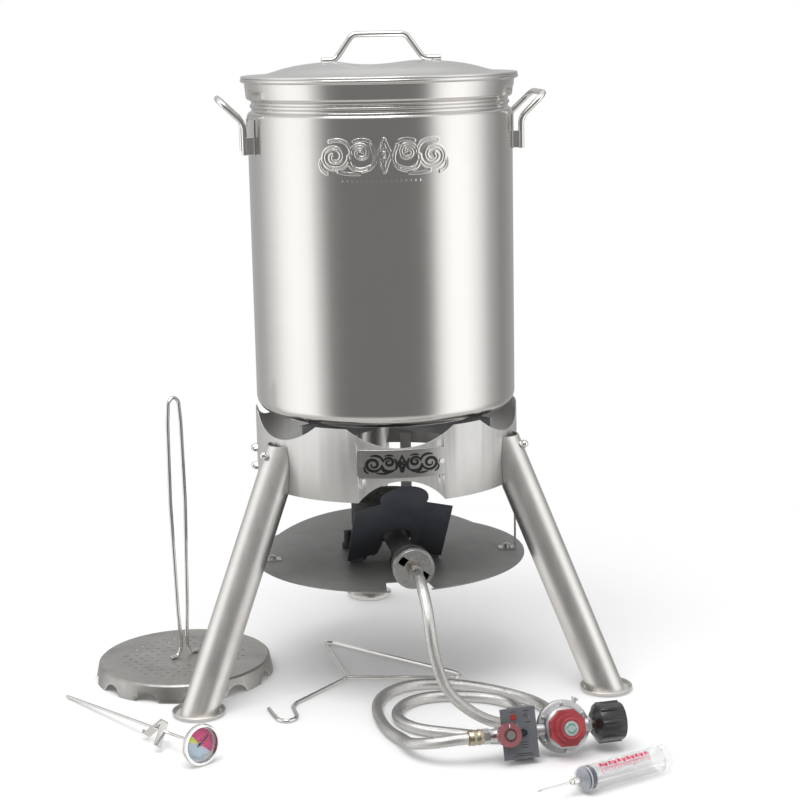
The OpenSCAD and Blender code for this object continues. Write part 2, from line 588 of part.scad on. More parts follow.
// folded spring clip: two legs of strip from one fold, pierced by the stem
module clip_leg(turn, len) rotate([0, 0, turn]) translate([0, -1, -6]) cube([0.9, len + 1, 12]);
module thermometer_clip() color(steel) in_stem() difference() {
  translate([96, -12, 0]) {
    clip_leg(5.7, 40);
    clip_leg(52.8, 63);
    translate([-0.05, 39.6, -6]) difference() {
      cylinder(r = 4, h = 12, $fn = 48);
      translate([0, 0, -1]) cylinder(r = 3.1, h = 14, $fn = 48);
      translate([0, -6, -1]) cube([10, 6, 14]);
    }
  }
  along_stem(60, 120, 2.08);
}

// ---------- injector ----------

module in_injector() { translate([110, -519, 17.6]) rotate([0, 0, 23.9]) children(); }
module injector_barrel() color([0.92, 0.94, 0.96, 0.6]) in_injector() difference() {
  union() {
    along_stem(64, 176, barrel_r);
    along_stem(59, 65, 4.6);
    along_stem(173.5, 176, 17.5);
  }
  along_stem(65.4, 180, barrel_r - 1.3);
  along_stem(50, 70, 2.6);
}
module needle_hub() color(bright) in_injector() difference() {
  union() { along_stem(48, 53, 3); along_stem(52, 58.9, 4.4); along_stem(57, 62, 2.5); }
  along_stem(40, 56, 1.3);
  along_stem(40, 64, 0.8);
}
module needle() color(bright) in_injector() difference() {
  union() { along_stem(6, 55.9, 1.25); translate([0, 0, 0]) rotate([0, 90, 0]) cylinder(r1 = 0.1, r2 = 1.25, h = 6.1, $fn = 32); }
  along_stem(8, 60, 0.6);
  translate([14, 0, 0]) cylinder(r = 0.7, h = 3, $fn = 24);
}
module injector_plunger() color([0.92, 0.94, 0.96, 0.6]) in_injector() {
  translate([77.2, -11, -1.1]) cube([108, 22, 2.2]);
  translate([77.2, -1.1, -11]) cube([108, 2.2, 22]);
  along_stem(77.2, 79.2, 12.6);
  along_stem(185, 188, 15.5);
  along_stem(70, 78, 4);
}
module plunger_seal() color([0.12, 0.14, 0.25]) in_injector() difference() {
  union() { along_stem(67, 69.4, 13.8); along_stem(69, 75, 13.1); along_stem(74.6, 77.2, 13.8); }
  along_stem(69.9, 80, 4.02);
}

windscreen_band();
nameplate();
nameplate_rivets();
seam_bolts();
support_bar_long();
support_bar_cross();
leg_left();
leg_right();
leg_rear();
leg_bolts();
feet();
heat_pan();
pan_hangers();
pan_bolts();
heat_shield();
burner_casting();
burner_cap();
air_shutter();
orifice_fitting();
inlet_ferrule();
gas_hose();
outlet_ferrule();
valve_body();
valve_stem();
valve_knob();
timer_housing();
timer_plate();
timer_button();
red_lens();
clear_lens();
regulator_body();
regulator_bonnet();
regulator_diaphragm();
regulator_spring();
regulator_vent();
pressure_knob();
pressure_knob_cap();
inlet_nipple();
coupling_nut();
pot_shell();
handle_brackets();
pot_handle_left();
pot_handle_right();
lid_shell();
lid_handle();
rack_plate();
rack_handle();
lifting_hook();
thermometer_stem();
thermometer_case();
thermometer_dial();
thermometer_pointer();
thermometer_lens();
thermometer_clip();
injector_barrel();
needle_hub();
needle();
injector_plunger();
plunger_seal();
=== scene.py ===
import math

import bmesh
import bpy
import numpy as np
from mathutils import Matrix, Vector


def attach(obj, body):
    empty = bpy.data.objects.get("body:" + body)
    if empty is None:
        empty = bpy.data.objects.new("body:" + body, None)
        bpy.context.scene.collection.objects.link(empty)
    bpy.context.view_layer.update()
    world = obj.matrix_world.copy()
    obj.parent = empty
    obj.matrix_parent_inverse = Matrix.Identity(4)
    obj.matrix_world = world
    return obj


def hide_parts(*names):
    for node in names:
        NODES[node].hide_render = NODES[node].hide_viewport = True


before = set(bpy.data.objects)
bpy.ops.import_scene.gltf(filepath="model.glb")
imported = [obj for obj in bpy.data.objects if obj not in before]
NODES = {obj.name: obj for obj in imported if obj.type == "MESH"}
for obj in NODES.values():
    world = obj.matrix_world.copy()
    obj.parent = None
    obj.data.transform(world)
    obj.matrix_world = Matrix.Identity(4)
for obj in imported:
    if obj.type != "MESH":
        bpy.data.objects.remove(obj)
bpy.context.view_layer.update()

sc = bpy.context.scene
sc.view_settings.view_transform = "Standard"
sc.view_settings.look = "None"
MM = 0.001
rng = np.random.default_rng(7)

# ------------------------------------------------------------------ camera
cam_data = bpy.data.cameras.new("camera")
cam_data.sensor_width = 36.0
cam_data.lens = 81.8
cam_data.clip_start, cam_data.clip_end = 0.05, 30
cam = bpy.data.objects.new("camera", cam_data)
sc.collection.objects.link(cam)
sc.camera = cam
right, up, back = Vector((0.99293, -0.11704, -0.01991)), Vector((0.04269, 0.19553, 0.97977)), Vector((-0.11078, -0.97369, 0.19915))
mat = Matrix((right, up, back)).transposed().to_4x4()
mat.translation = Vector((-0.2601, -2.4577, 0.8827))
cam.matrix_world = mat


# ------------------------------------------------------------------ node helpers
class Mat:
    """A Principled material with short calls for its node tree."""

    def __init__(self, name):
        self.m = bpy.data.materials.new(name)
        self.m.use_nodes = True
        self.t = self.m.node_tree
        self.t.nodes.clear()
        self.out = self.add("ShaderNodeOutputMaterial")
        self.p = self.add("ShaderNodeBsdfPrincipled")
        self.link(self.p.outputs[0], self.out.inputs[0])

    def add(self, kind, **kw):
        n = self.t.nodes.new(kind)
        for k, v in kw.items():
            setattr(n, k, v)
        return n

    def link(self, a, b):
        self.t.links.new(a, b)

    def coords(self, scale=(1, 1, 1), kind="Object", rot=(0, 0, 0)):
        tc = self.add("ShaderNodeTexCoord")
        mp = self.add("ShaderNodeMapping")
        mp.inputs["Scale"].default_value = scale
        mp.inputs["Rotation"].default_value = rot
        self.link(tc.outputs[kind], mp.inputs["Vector"])
        return mp.outputs[0]

    def noise(self, vec, scale=1.0, detail=3.0, rough=0.5, dist=0.0):
        n = self.add("ShaderNodeTexNoise")
        n.inputs["Scale"].default_value = scale
        n.inputs["Detail"].default_value = detail
        n.inputs["Roughness"].default_value = rough
        n.inputs["Distortion"].default_value = dist
        self.link(vec, n.inputs["Vector"])
        return n.outputs[0]

    def ramp(self, fac, stops):
        n = self.add("ShaderNodeValToRGB")
        e = n.color_ramp.elements
        while len(e) > 1:
            e.remove(e[-1])
        e[0].position, e[0].color = stops[0][0], (*stops[0][1], 1) if len(stops[0][1]) == 3 else stops[0][1]
        for pos, col in stops[1:]:
            x = e.new(pos)
            x.color = (*col, 1)
        self.link(fac, n.inputs[0])
        return n.outputs[0]

    def maprange(self, fac, a, b, lo=0.0, hi=1.0):
        n = self.add("ShaderNodeMapRange")
        n.inputs["From Min"].default_value, n.inputs["From Max"].default_value = lo, hi
        n.inputs["To Min"].default_value, n.inputs["To Max"].default_value = a, b
        self.link(fac, n.inputs["Value"])
        return n.outputs[0]

    def mix(self, fac, a, b, mode="MIX"):
        n = self.add("ShaderNodeMix", data_type="RGBA", blend_type=mode)
        for k, v in (("Factor", fac), ("A", a), ("B", b)):
            s = [x for x in n.inputs if x.name == k and x.enabled][0]
            if isinstance(v, (tuple, list)):
                s.default_value = (*v, 1) if len(v) == 3 else v
            elif isinstance(v, (int, float)):
                s.default_value = v
            else:
                self.link(v, s)
        return [x for x in n.outputs if x.enabled][0]

    def math(self, op, a, b=None):
        n = self.add("ShaderNodeMath", operation=op)
        for k, v in ((0, a), (1, b)):
            if v is None:
                continue
            if isinstance(v, (int, float)):
                n.inputs[k].default_value = v
            else:
                self.link(v, n.inputs[k])
        return n.outputs[0]

    def bump(self, height, strength, distance, normal=None):
        n = self.add("ShaderNodeBump")
        n.inputs["Strength"].default_value = strength
        n.inputs["Distance"].default_value = distance
        self.link(height, n.inputs["Height"])
        if normal is not None:
            self.link(normal, n.inputs["Normal"])
        self.link(n.outputs[0], self.p.inputs["Normal"])
        return n.outputs[0]


def shade(c, f):
    return tuple(min(1.0, x * f) for x in c)


def metal(name, col, rough=0.25, var=0.06, streak=(4, 4, 500), bump=0.06, dist=0.0003, blotch=9.0, tone=0.07, rot=(0, 0, 0), smudge=0.05):
    """Brushed or polished metal: fine streaks along one direction, soft blotches of tone, smudges in roughness."""
    k = Mat(name)
    k.p.inputs["Metallic"].default_value = 1.0
    fine = k.noise(k.coords(streak, rot=rot), 1.0, 5.0, 0.65)
    wide = k.noise(k.coords((1, 1, 1)), blotch, 3.0, 0.55, 0.4)
    scuff = k.noise(k.coords((1, 1, 1)), blotch * 9, 4.0, 0.7, 0.8)
    a = k.mix(k.maprange(wide, 0, 1, 0.3, 0.7), shade(col, 1 - tone), shade(col, 1 + tone))
    b = k.mix(k.maprange(fine, 0.0, 1.0, 0.3, 0.7), a, shade(col, 1.1), "MIX")
    n = [x for x in b.node.inputs if x.name == "Factor" and x.enabled][0]
    k.link(k.maprange(fine, 0.0, 0.35, 0.35, 0.75), n)
    k.link(b, k.p.inputs["Base Color"])
    r = k.math("ADD", k.maprange(fine, rough - var, rough + var, 0.25, 0.75), k.maprange(scuff, -smudge * 0.3, smudge, 0.45, 0.8))
    k.link(r, k.p.inputs["Roughness"])
    if bump:
        k.bump(fine, bump, dist)
    return k.m


def plastic(name, col, rough=0.4, grain=900, bump=0.08, tone=0.12, coat=0.0, spec=0.5):
    """Moulded plastic or paint: fine grain in the surface, slight tone changes and handling marks."""
    k = Mat(name)
    k.p.inputs["Specular IOR Level"].default_value = spec
    fine = k.noise(k.coords((1, 1, 1)), grain, 2.0, 0.6)
    wide = k.noise(k.coords((1, 1, 1)), 35, 4.0, 0.6, 0.6)
    k.link(k.mix(k.maprange(wide, 0, 1, 0.3, 0.7), shade(col, 1 - tone), shade(col, 1 + tone)), k.p.inputs["Base Color"])
    k.link(k.maprange(wide, rough - 0.06, rough + 0.09, 0.3, 0.7), k.p.inputs["Roughness"])
    k.p.inputs["Coat Weight"].default_value = coat
    k.p.inputs["Coat Roughness"].default_value = 0.12
    k.bump(fine, bump, 0.0002)
    return k.m


# ------------------------------------------------------------------ mesh helpers
def obj_from(name, verts, faces, mats, body, smooth=True, index=None, replaces=(), uv=None):
    me = bpy.data.meshes.new(name)
    me.from_pydata([tuple(float(c) for c in v) for v in verts], [], [tuple(int(i) for i in f) for f in faces])
    me.update()
    o = bpy.data.objects.new(name, me)
    sc.collection.objects.link(o)
    for m in mats if isinstance(mats, (list, tuple)) else [mats]:
        me.materials.append(m)
    if smooth:
        me.polygons.foreach_set("use_smooth", [True] * len(me.polygons))
    if index is not None:
        me.polygons.foreach_set("material_index", [int(i) for i in index])
    if uv is not None:
        layer = me.uv_layers.new(name="UVMap")
        loops = np.zeros(len(me.loops), np.int64)
        me.loops.foreach_get("vertex_index", loops)
        if callable(uv):
            layer.data.foreach_set("uv", uv(me, loops).ravel())
        else:
            layer.data.foreach_set("uv", np.asarray(uv)[loops].ravel())
    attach(o, body)
    if replaces:
        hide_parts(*replaces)
    return o


def grid_faces(n, m, close_n=False, close_m=False, flip=False):
    out = []
    for i in range(n if close_n else n - 1):
        for j in range(m if close_m else m - 1):
            a, b = i * m + j, i * m + (j + 1) % m
            c, d = ((i + 1) % n) * m + (j + 1) % m, ((i + 1) % n) * m + j
            out.append((a, b, c, d) if not flip else (d, c, b, a))
    return out


def fillet(pts, rad, seg=7):
    """Rounds the corners of a polyline with circular-looking curves."""
    p = [np.array(q, float) for q in pts]
    rads = rad if isinstance(rad, (list, tuple)) else [rad] * len(p)
    out = [p[0]]
    for i in range(1, len(p) - 1):
        a, b = p[i - 1] - p[i], p[i + 1] - p[i]
        la, lb = np.linalg.norm(a), np.linalg.norm(b)
        cosv = float(np.clip(np.dot(a, b) / la / lb, -0.9999, 0.9999))
        th = math.pi - math.acos(cosv)
        t = min(rads[i] * math.tan(th / 2), 0.48 * la, 0.48 * lb)
        s, e = p[i] + a / la * t, p[i] + b / lb * t
        w = 0.5 + 0.5 * math.cos(th / 2)
        for k in range(seg + 1):
            u = k / seg
            B0, B1, B2 = (1 - u) ** 2, 2 * u * (1 - u) * w, u * u
            out.append((B0 * s + B1 * p[i] + B2 * e) / (B0 + B1 + B2))
    out.append(p[-1])
    return np.array(out)


def resample(P, step):
    P = np.asarray(P, float)
    d = np.r_[0, np.cumsum(np.linalg.norm(np.diff(P, axis=0), axis=1))]
    n = max(2, int(round(d[-1] / step)) + 1)
    s = np.linspace(0, d[-1], n)
    return np.column_stack([np.interp(s, d, P[:, k]) for k in range(3)])


def frames(P, closed=False, up0=None):
    """Tangents and two untwisted side vectors along points P."""
    P = np.asarray(P, float)
    T = np.gradient(P, axis=0)
    if closed:
        T = np.roll(P, -1, 0) - np.roll(P, 1, 0)
    T /= np.linalg.norm(T, axis=1)[:, None]
    u = np.array(up0 if up0 is not None else ([0, 0, 1] if abs(T[0][2]) < 0.9 else [1, 0, 0]), float)
    U = np.zeros_like(P)
    for i, t in enumerate(T):
        u = u - np.dot(u, t) * t
        u /= np.linalg.norm(u)
        U[i] = u
    return T, U, np.cross(T, U)


def sweep_mesh(P, r, n=20, up0=None, round_ends=0.0, wide=None, closed=False):
    """Vertices and faces of a tube along P. r is a number or one per point; wide multiplies the width across."""
    P = np.asarray(P, float)
    T, U, W = frames(P, closed, up0)
    r = np.full(len(P), r, float) if np.isscalar(r) else np.asarray(r, float)
    ws = np.ones(len(P)) if wide is None else np.asarray(wide, float)
    if round_ends and not closed:
        e = round_ends
        A = [P[0] - T[0] * 0, P[0] + T[0] * 0]
        k = 5
        P2, r2, U2, W2, w2 = [], [], [], [], []
        for j in range(k):
            a = math.pi / 2 * j / k
            P2.append(P[0] + T[0] * e * (1 - math.sin(a)))
            r2.append(max(1e-5, (r[0] - e) + e * math.cos(math.pi / 2 - a) if j else max(1e-5, r[0] - e)))
            U2.append(U[0]); W2.append(W[0]); w2.append(ws[0])
        for i in range(1, len(P) - 1):
            P2.append(P[i]); r2.append(r[i]); U2.append(U[i]); W2.append(W[i]); w2.append(ws[i])
        for j in range(k - 1, -1, -1):
            a = math.pi / 2 * j / k
            P2.append(P[-1] - T[-1] * e * (1 - math.sin(a)))
            r2.append(max(1e-5, (r[-1] - e) + e * math.sin(a)))
            U2.append(U[-1]); W2.append(W[-1]); w2.append(ws[-1])
        # nearest ends first: put end rings in order along the rod
        P2[:k] = [P[0] + T[0] * e * (1 - math.sin(math.pi / 2 * j / (k - 1))) for j in range(k - 1, -1, -1)][::-1]
        P2[:k] = [P[0] + T[0] * e * (1 - math.cos(math.pi / 2 * j / (k - 1))) for j in range(k)]
        r2[:k] = [max(1e-5, r[0] - e + e * math.sin(math.pi / 2 * j / (k - 1))) for j in range(k)]
        P2[-k:] = [P[-1] - T[-1] * e * (1 - math.cos(math.pi / 2 * j / (k - 1))) for j in range(k - 1, -1, -1)]
        r2[-k:] = [max(1e-5, r[-1] - e + e * math.sin(math.pi / 2 * j / (k - 1))) for j in range(k - 1, -1, -1)]
        P, r, U, W, ws = np.array(P2), np.array(r2), np.array(U2), np.array(W2), np.array(w2)
    a = np.linspace(0, 2 * math.pi, n, endpoint=False)
    V = P[:, None, :] + r[:, None, None] * (np.cos(a)[None, :, None] * U[:, None, :] + (np.sin(a)[None, :, None] * ws[:, None, None]) * W[:, None, :])
    V = V.reshape(-1, 3)
    F = grid_faces(len(P), n, close_n=closed, close_m=True)
    if not closed:
        F.append(tuple(range(n))[::-1][::-1])
        F.append(tuple((len(P) - 1) * n + k for k in range(n))[::-1])
        F[-2] = tuple(range(n))
    return V, F


def fix_normals(o):
    bm = bmesh.new()
    bm.from_mesh(o.data)
    bmesh.ops.recalc_face_normals(bm, faces=bm.faces)
    bm.to_mesh(o.data)
    bm.free()
    return o


def rod(name, pts, r, mat, body, rad=12, step=2.0, n=20, ends=1.0, replaces=(), up0=None, wide=None):
    P = resample(fillet(pts, rad, 10), step) * MM
    V, F = sweep_mesh(P, r * MM, n, up0, ends * MM, wide)
    return fix_normals(obj_from(name, V, F, mat, body, replaces=replaces))


def lathe_mesh(profile, n=96, closed=True):
    """Turns (r, z) points about Z. closed joins the last point to the first."""
    a = np.linspace(0, 2 * math.pi, n, endpoint=False)
    pr = np.array(profile, float)
    V = np.stack([pr[:, 0][None] * np.cos(a)[:, None], pr[:, 0][None] * np.sin(a)[:, None], np.broadcast_to(pr[:, 1][None], (n, len(pr)))], -1).reshape(-1, 3)
    return V, grid_faces(n, len(pr), close_n=True, close_m=closed)


def round_profile(pts, rad, seg=4, closed=True):
    """Rounds the corners of an (r, z) outline."""
    p = [np.array([q[0], q[1]], float) for q in pts]
    out = []
    N = len(p)
    for i in range(N):
        if not closed and i in (0, N - 1):
            out.append(p[i])
            continue
        a, b = p[i - 1] - p[i], p[(i + 1) % N] - p[i]
        la, lb = np.linalg.norm(a), np.linalg.norm(b)
        t = min(rad, 0.45 * la, 0.45 * lb)
        s, e = p[i] + a / la * t, p[i] + b / lb * t
        for k in range(seg + 1):
            u = k / seg
            out.append((1 - u) ** 2 * s + 2 * u * (1 - u) * p[i] + u * u * e)
    return [(float(q[0]), float(q[1])) for q in out]


def turned(name, profile, mat, body, place, rad=0.5, n=64, replaces=(), warp=None, mats_index=None):
    """A turned piece: an (r, h) outline in mm, rounded, revolved, and put in place by a 4x4 matrix in mm."""
    pr = round_profile(profile, rad)
    V, F = lathe_mesh(pr, n)
    if warp is not None:
        V = warp(V)
    V = np.c_[V, np.ones(len(V))] @ np.array(place).T
    o = obj_from(name, V[:, :3] * MM, F, mat, body, replaces=replaces)
    bm = bmesh.new()
    bm.from_mesh(o.data)
    bmesh.ops.remove_doubles(bm, verts=bm.verts, dist=1e-6)
    bmesh.ops.recalc_face_normals(bm, faces=bm.faces)
    bm.to_mesh(o.data)
    bm.free()
    return o


def prism(name, outline, h0, h1, mat, body, place, bevel=0.5, slot=None, replaces=(), holes=()):
    """A flat outline (x, y) in mm raised from h0 to h1, with bevelled edges, put in place by a 4x4 matrix in mm."""
    bm = bmesh.new()
    vs = [bm.verts.new((x, y, h0)) for x, y in outline]
    f = bm.faces.new(vs)
    ext = bmesh.ops.extrude_face_region(bm, geom=[f])
    for v in [g for g in ext["geom"] if isinstance(g, bmesh.types.BMVert)]:
        v.co.z = h1
    bmesh.ops.recalc_face_normals(bm, faces=bm.faces)
    if bevel:
        edges = [e for e in bm.edges if e.calc_face_angle(0) > 0.6]
        bmesh.ops.bevel(bm, geom=edges, offset=bevel, segments=3, profile=0.5, affect="EDGES", clamp_overlap=True)
    me = bpy.data.meshes.new(name)
    bm.transform(Matrix([[float(c) for c in r] for r in place]))
    bmesh.ops.scale(bm, vec=(MM, MM, MM), verts=bm.verts)
    bm.to_mesh(me)
    bm.free()
    o = bpy.data.objects.new(name, me)
    sc.collection.objects.link(o)
    me.materials.append(mat)
    mod = o.modifiers.new("wn", "WEIGHTED_NORMAL")
    mod.keep_sharp = False
    me.polygons.foreach_set("use_smooth", [True] * len(me.polygons))
    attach(o, body)
    if replaces:
        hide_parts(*replaces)
    return o


def rot(axis, deg):
    return Matrix.Rotation(math.radians(deg), 4, axis)


def tr(x, y, z):
    return Matrix.Translation((x, y, z))


CHAIN = tr(172, -370, 34) @ rot("Z", 8) @ rot("X", -18)
FACE = CHAIN @ rot("X", 90)  # local z runs towards the viewer, local y up
ALONG = CHAIN @ rot("Y", 90)  # local z runs along the chain
BURN = rot("Z", 2.4)
STEM = tr(-275, -331, 26.1) @ rot("Z", 124.33) @ rot("Y", 4.3)
INJ = tr(110, -519, 17.6) @ rot("Z", 23.9)

# ------------------------------------------------------------------ materials
M = {}
M["pot"] = metal("pot_steel", (0.62, 0.605, 0.585), 0.20, 0.02, (1.2, 1.2, 700), 0.012, 0.0001, 3.5, 0.025, smudge=0.02)
M["lid"] = metal("lid_steel", (0.66, 0.655, 0.645), 0.30, 0.012, (3, 3, 3), 0.0, 0.0, 3, 0.02, smudge=0.008)
M["band"] = metal("band_steel", (0.60, 0.595, 0.58), 0.50, 0.05, (3, 3, 900), 0.03, 0.0002, 5, 0.05, smudge=0.04)
M["plate"] = metal("plate_steel", (0.47, 0.465, 0.455), 0.34, 0.04, (4, 4, 700), 0.02, 0.0002, 9, 0.04)
M["leg"] = metal("leg_steel", (0.69, 0.675, 0.65), 0.40, 0.04, (60, 60, 9), 0.02, 0.0002, 12, 0.05)
M["bright"] = metal("bright_steel", (0.72, 0.71, 0.69), 0.13, 0.03, (80, 80, 80), 0.02, 0.0001, 30, 0.05)
M["wire"] = metal("wire_steel", (0.66, 0.65, 0.63), 0.18, 0.05, (120, 120, 60), 0.04, 0.0002, 40, 0.08)
M["zinc"] = metal("zinc_plate", (0.60, 0.60, 0.59), 0.30, 0.07, (200, 200, 200), 0.08, 0.0002, 60, 0.12)
M["bars"] = metal("dark_bars", (0.24, 0.24, 0.25), 0.45, 0.08, (60, 60, 60), 0.1, 0.0003, 30, 0.15)
M["pan"] = metal("pan_sheet", (0.25, 0.248, 0.243), 0.50, 0.08, (14, 14, 14), 0.05, 0.0003, 10, 0.10, smudge=0.09)
[n for n in M["pan"].node_tree.nodes if n.type == "BSDF_PRINCIPLED"][0].inputs["Metallic"].default_value = 0.55
M["shield"] = plastic("shield_sheet", (0.060, 0.064, 0.076), 0.42, 500, 0.10, 0.14, 0.0, 0.6)
M["rack"] = metal("rack_sheet", (0.385, 0.376, 0.358), 0.46, 0.08, (55, 55, 55), 0.12, 0.0004, 22, 0.16, smudge=0.1)
M["brass"] = metal("brass_metal", (0.50, 0.44, 0.34), 0.30, 0.06, (160, 160, 160), 0.06, 0.0002, 60, 0.12)
M["cast"] = metal("die_cast", (0.50, 0.50, 0.51), 0.46, 0.08, (420, 420, 420), 0.30, 0.0003, 45, 0.14)
M["iron"] = plastic("cast_iron", (0.035, 0.034, 0.033), 0.62, 420, 0.5, 0.3)
M["black"] = plastic("black_plastic", (0.016, 0.016, 0.017), 0.26, 500, 0.06, 0.3, 0.25)
M["maroon"] = plastic("maroon_plastic", (0.25, 0.085, 0.095), 0.36, 800, 0.1, 0.14)
M["red"] = plastic("red_plastic", (0.37, 0.055, 0.065), 0.34, 800, 0.1, 0.16)
M["grey"] = plastic("timer_face", (0.115, 0.12, 0.13), 0.40, 500, 0.08, 0.12)
M["redlens"] = plastic("red_lens", (0.30, 0.03, 0.03), 0.12, 300, 0.02, 0.1, 1.0)
M["rubber"] = plastic("rubber_black", (0.014, 0.014, 0.015), 0.6, 900, 0.2, 0.25)
M["seal"] = plastic("seal_rubber", (0.012, 0.018, 0.07), 0.45, 900, 0.15, 0.25)
M["cap"] = plastic("cap_face", (0.36, 0.42, 0.41), 0.40, 500, 0.06, 0.10)
M["magenta"] = plastic("dial_magenta", (0.58, 0.03, 0.17), 0.45, 700, 0.04, 0.08)
M["lime"] = plastic("dial_lime", (0.42, 0.62, 0.05), 0.45, 700, 0.04, 0.08)
M["yellow"] = plastic("dial_yellow", (0.80, 0.62, 0.05), 0.45, 700, 0.04, 0.08)
M["blue"] = plastic("dial_blue", (0.46, 0.56, 0.66), 0.45, 700, 0.04, 0.08)
M["white"] = plastic("white_print", (0.75, 0.75, 0.75), 0.45, 700, 0.04, 0.06)
M["green"] = plastic("green_print", (0.06, 0.26, 0.16), 0.45, 700, 0.04, 0.08)
M["disc"] = plastic("grey_disc", (0.22, 0.25, 0.29), 0.35, 500, 0.06, 0.1)
M["ink"] = plastic("black_ink", (0.008, 0.008, 0.008), 0.4, 900, 0.05, 0.2)
M["redink"] = plastic("red_ink", (0.60, 0.01, 0.08), 0.4, 900, 0.05, 0.2)


def clear(name, col, rough, trans=1.0, alpha=1.0):
    k = Mat(name)
    fine = k.noise(k.coords((1, 1, 1)), 60, 3.0, 0.6, 0.3)
    k.link(k.mix(k.maprange(fine, 0, 1, 0.3, 0.7), shade(col, 0.97), col), k.p.inputs["Base Color"])
    k.link(k.maprange(fine, rough, rough + 0.08, 0.3, 0.7), k.p.inputs["Roughness"])
    k.p.inputs["IOR"].default_value = 1.46
    k.p.inputs["Transmission Weight"].default_value = trans
    k.p.inputs["Alpha"].default_value = alpha
    k.bump(fine, 0.02, 0.0002)
    return k.m


M["clear"] = clear("clear_plastic", (0.99, 0.99, 1.0), 0.05, 0.85, 0.30)
M["glass"] = clear("lens_clear", (1, 1, 1), 0.02, 1.0, 0.25)

# braided steel wire, laid out by the hose's own length (U) and girth (V)
k = Mat("braid_steel")
k.p.inputs["Metallic"].default_value = 1.0
uvn = k.add("ShaderNodeUVMap")
uvn.uv_map = "UVMap"
sep = k.add("ShaderNodeSeparateXYZ")
k.link(uvn.outputs[0], sep.inputs[0])
TWO = 2 * math.pi
fine_a = k.math("SINE", k.math("ADD", k.math("MULTIPLY", sep.outputs[0], TWO * 1150), k.math("MULTIPLY", sep.outputs[1], TWO * 40)))
fine_b = k.math("SINE", k.math("SUBTRACT", k.math("MULTIPLY", sep.outputs[0], TWO * 1150), k.math("MULTIPLY", sep.outputs[1], TWO * 40)))
weave_relief_and_painted_light = k.math("MULTIPLY", fine_a, fine_b)
dirt = k.noise(k.coords((1, 1, 1)), 90, 3.0, 0.6)
# base colour follows the weave: darker in its hollows, a painted shade between the wires, and lighter on its crests, a
# painted highlight; the bump below gives the same weave as relief
k.link(k.mix(k.maprange(weave_relief_and_painted_light, 0, 1, -0.6, 0.6), (0.36, 0.35, 0.335), (0.88, 0.87, 0.85)), k.p.inputs["Base Color"])
k.link(k.maprange(dirt, 0.16, 0.27, 0.3, 0.7), k.p.inputs["Roughness"])
k.bump(weave_relief_and_painted_light, 0.30, 0.0003)
M["braid"] = k.m

# ------------------------------------------------------------------ hose
ROUTE = [
    (10, -234, 200), (11, -260, 198), (12, -284, 189.5), (14, -302.5, 173), (16, -314, 148), (20, -318, 120),
    (27, -318, 93), (38, -315, 68), (56, -311, 47.5), (78.5, -306, 29.5), (104, -298.5, 16.5), (126, -282.5, 10),
    (139.5, -258.5, 7.4), (142, -232.5, 7.4), (133.5, -208, 7.4), (113, -187.5, 7.4), (87, -176, 7.4),
    (60.5, -169.5, 7.4), (34, -169, 7.4), (8.5, -179, 7.4), (-10, -199.5, 7.4), (-18.5, -225.5, 7.4),
    (-14, -253.5, 7.4), (2.5, -278, 7.4), (27.5, -293.5, 7.4), (53, -305.5, 7.4), (80, -318, 7.4), (108, -324, 7.4),
    (135, -321, 7.4), (158, -308, 7.4), (174, -287, 7.4), (180, -261, 7.4), (177, -233, 7.4), (165, -206, 7.4),
    (146, -182, 7.4), (122, -159, 7.4), (95, -139, 7.4), (66, -124, 7.4), (35, -118, 7.4), (5, -123, 7.4),
    (-19, -141, 7.4), (-35, -168, 7.4), (-42, -200, 7.4), (-42, -233, 7.4), (-38, -266, 7.4), (-30, -297, 9),
    (-21.5, -323, 12), (-16.5, -346.5, 16.5), (-4, -368.5, 23.5), (16, -382.5, 29.5), (34.5, -387, 33),
    (51.2, -387, 34), 
]
D0 = np.array([math.sin(math.radians(2.4)), -math.cos(math.radians(2.4)), 0.0])
D1 = np.array([math.cos(math.radians(8)), math.sin(math.radians(8)), 0.0])


def clamped_spline(P, d0, d1, step):
    """Cubic spline through P with the given end directions, sampled every step."""
    P = np.array(P, float)
    s = np.r_[0, np.cumsum(np.linalg.norm(np.diff(P, axis=0), axis=1))]
    n, h = len(P), np.diff(s)
    A, B = np.zeros((n, n)), np.zeros((n, 3))
    A[0, 0], A[-1, -1] = 1, 1
    B[0], B[-1] = d0, d1
    for i in range(1, n - 1):
        A[i, i - 1], A[i, i], A[i, i + 1] = h[i], 2 * (h[i - 1] + h[i]), h[i - 1]
        B[i] = 3 * (h[i] * (P[i] - P[i - 1]) / h[i - 1] + h[i - 1] * (P[i + 1] - P[i]) / h[i])
    D = np.linalg.solve(A, B)
    t = np.linspace(0, s[-1], int(s[-1] / step) + 1)
    j = np.clip(np.searchsorted(s, t) - 1, 0, n - 2)
    u = ((t - s[j]) / h[j])[:, None]
    hj = h[j][:, None]
    return (2 * u**3 - 3 * u**2 + 1) * P[j] + (u**3 - 2 * u**2 + u) * hj * D[j] + (-2 * u**3 + 3 * u**2) * P[j + 1] + (u**3 - u**2) * hj * D[j + 1]


HP = resample(clamped_spline(np.array(ROUTE, float), D0, D1, 2.0), 1.3) * MM
T, U, W = frames(HP)
na = 40
ang = np.linspace(0, TWO, na, endpoint=False)
ss = np.r_[0, np.cumsum(np.linalg.norm(np.diff(HP, axis=0), axis=1))]
q1 = np.sin(TWO * (ss[:, None] / 0.0105) + 5 * ang[None, :])
q2 = np.sin(TWO * (ss[:, None] / 0.0105) - 5 * ang[None, :])
hose_rad = 0.00725 - 0.00022 + 0.00022 * np.abs(q1 * q2)
V = HP[:, None, :] + hose_rad[:, :, None] * (np.cos(ang)[None, :, None] * U[:, None, :] + np.sin(ang)[None, :, None] * W[:, None, :])
F = grid_faces(len(HP), na, close_m=True)
F += [tuple(range(na)), tuple((len(HP) - 1) * na + j for j in range(na))[::-1]]


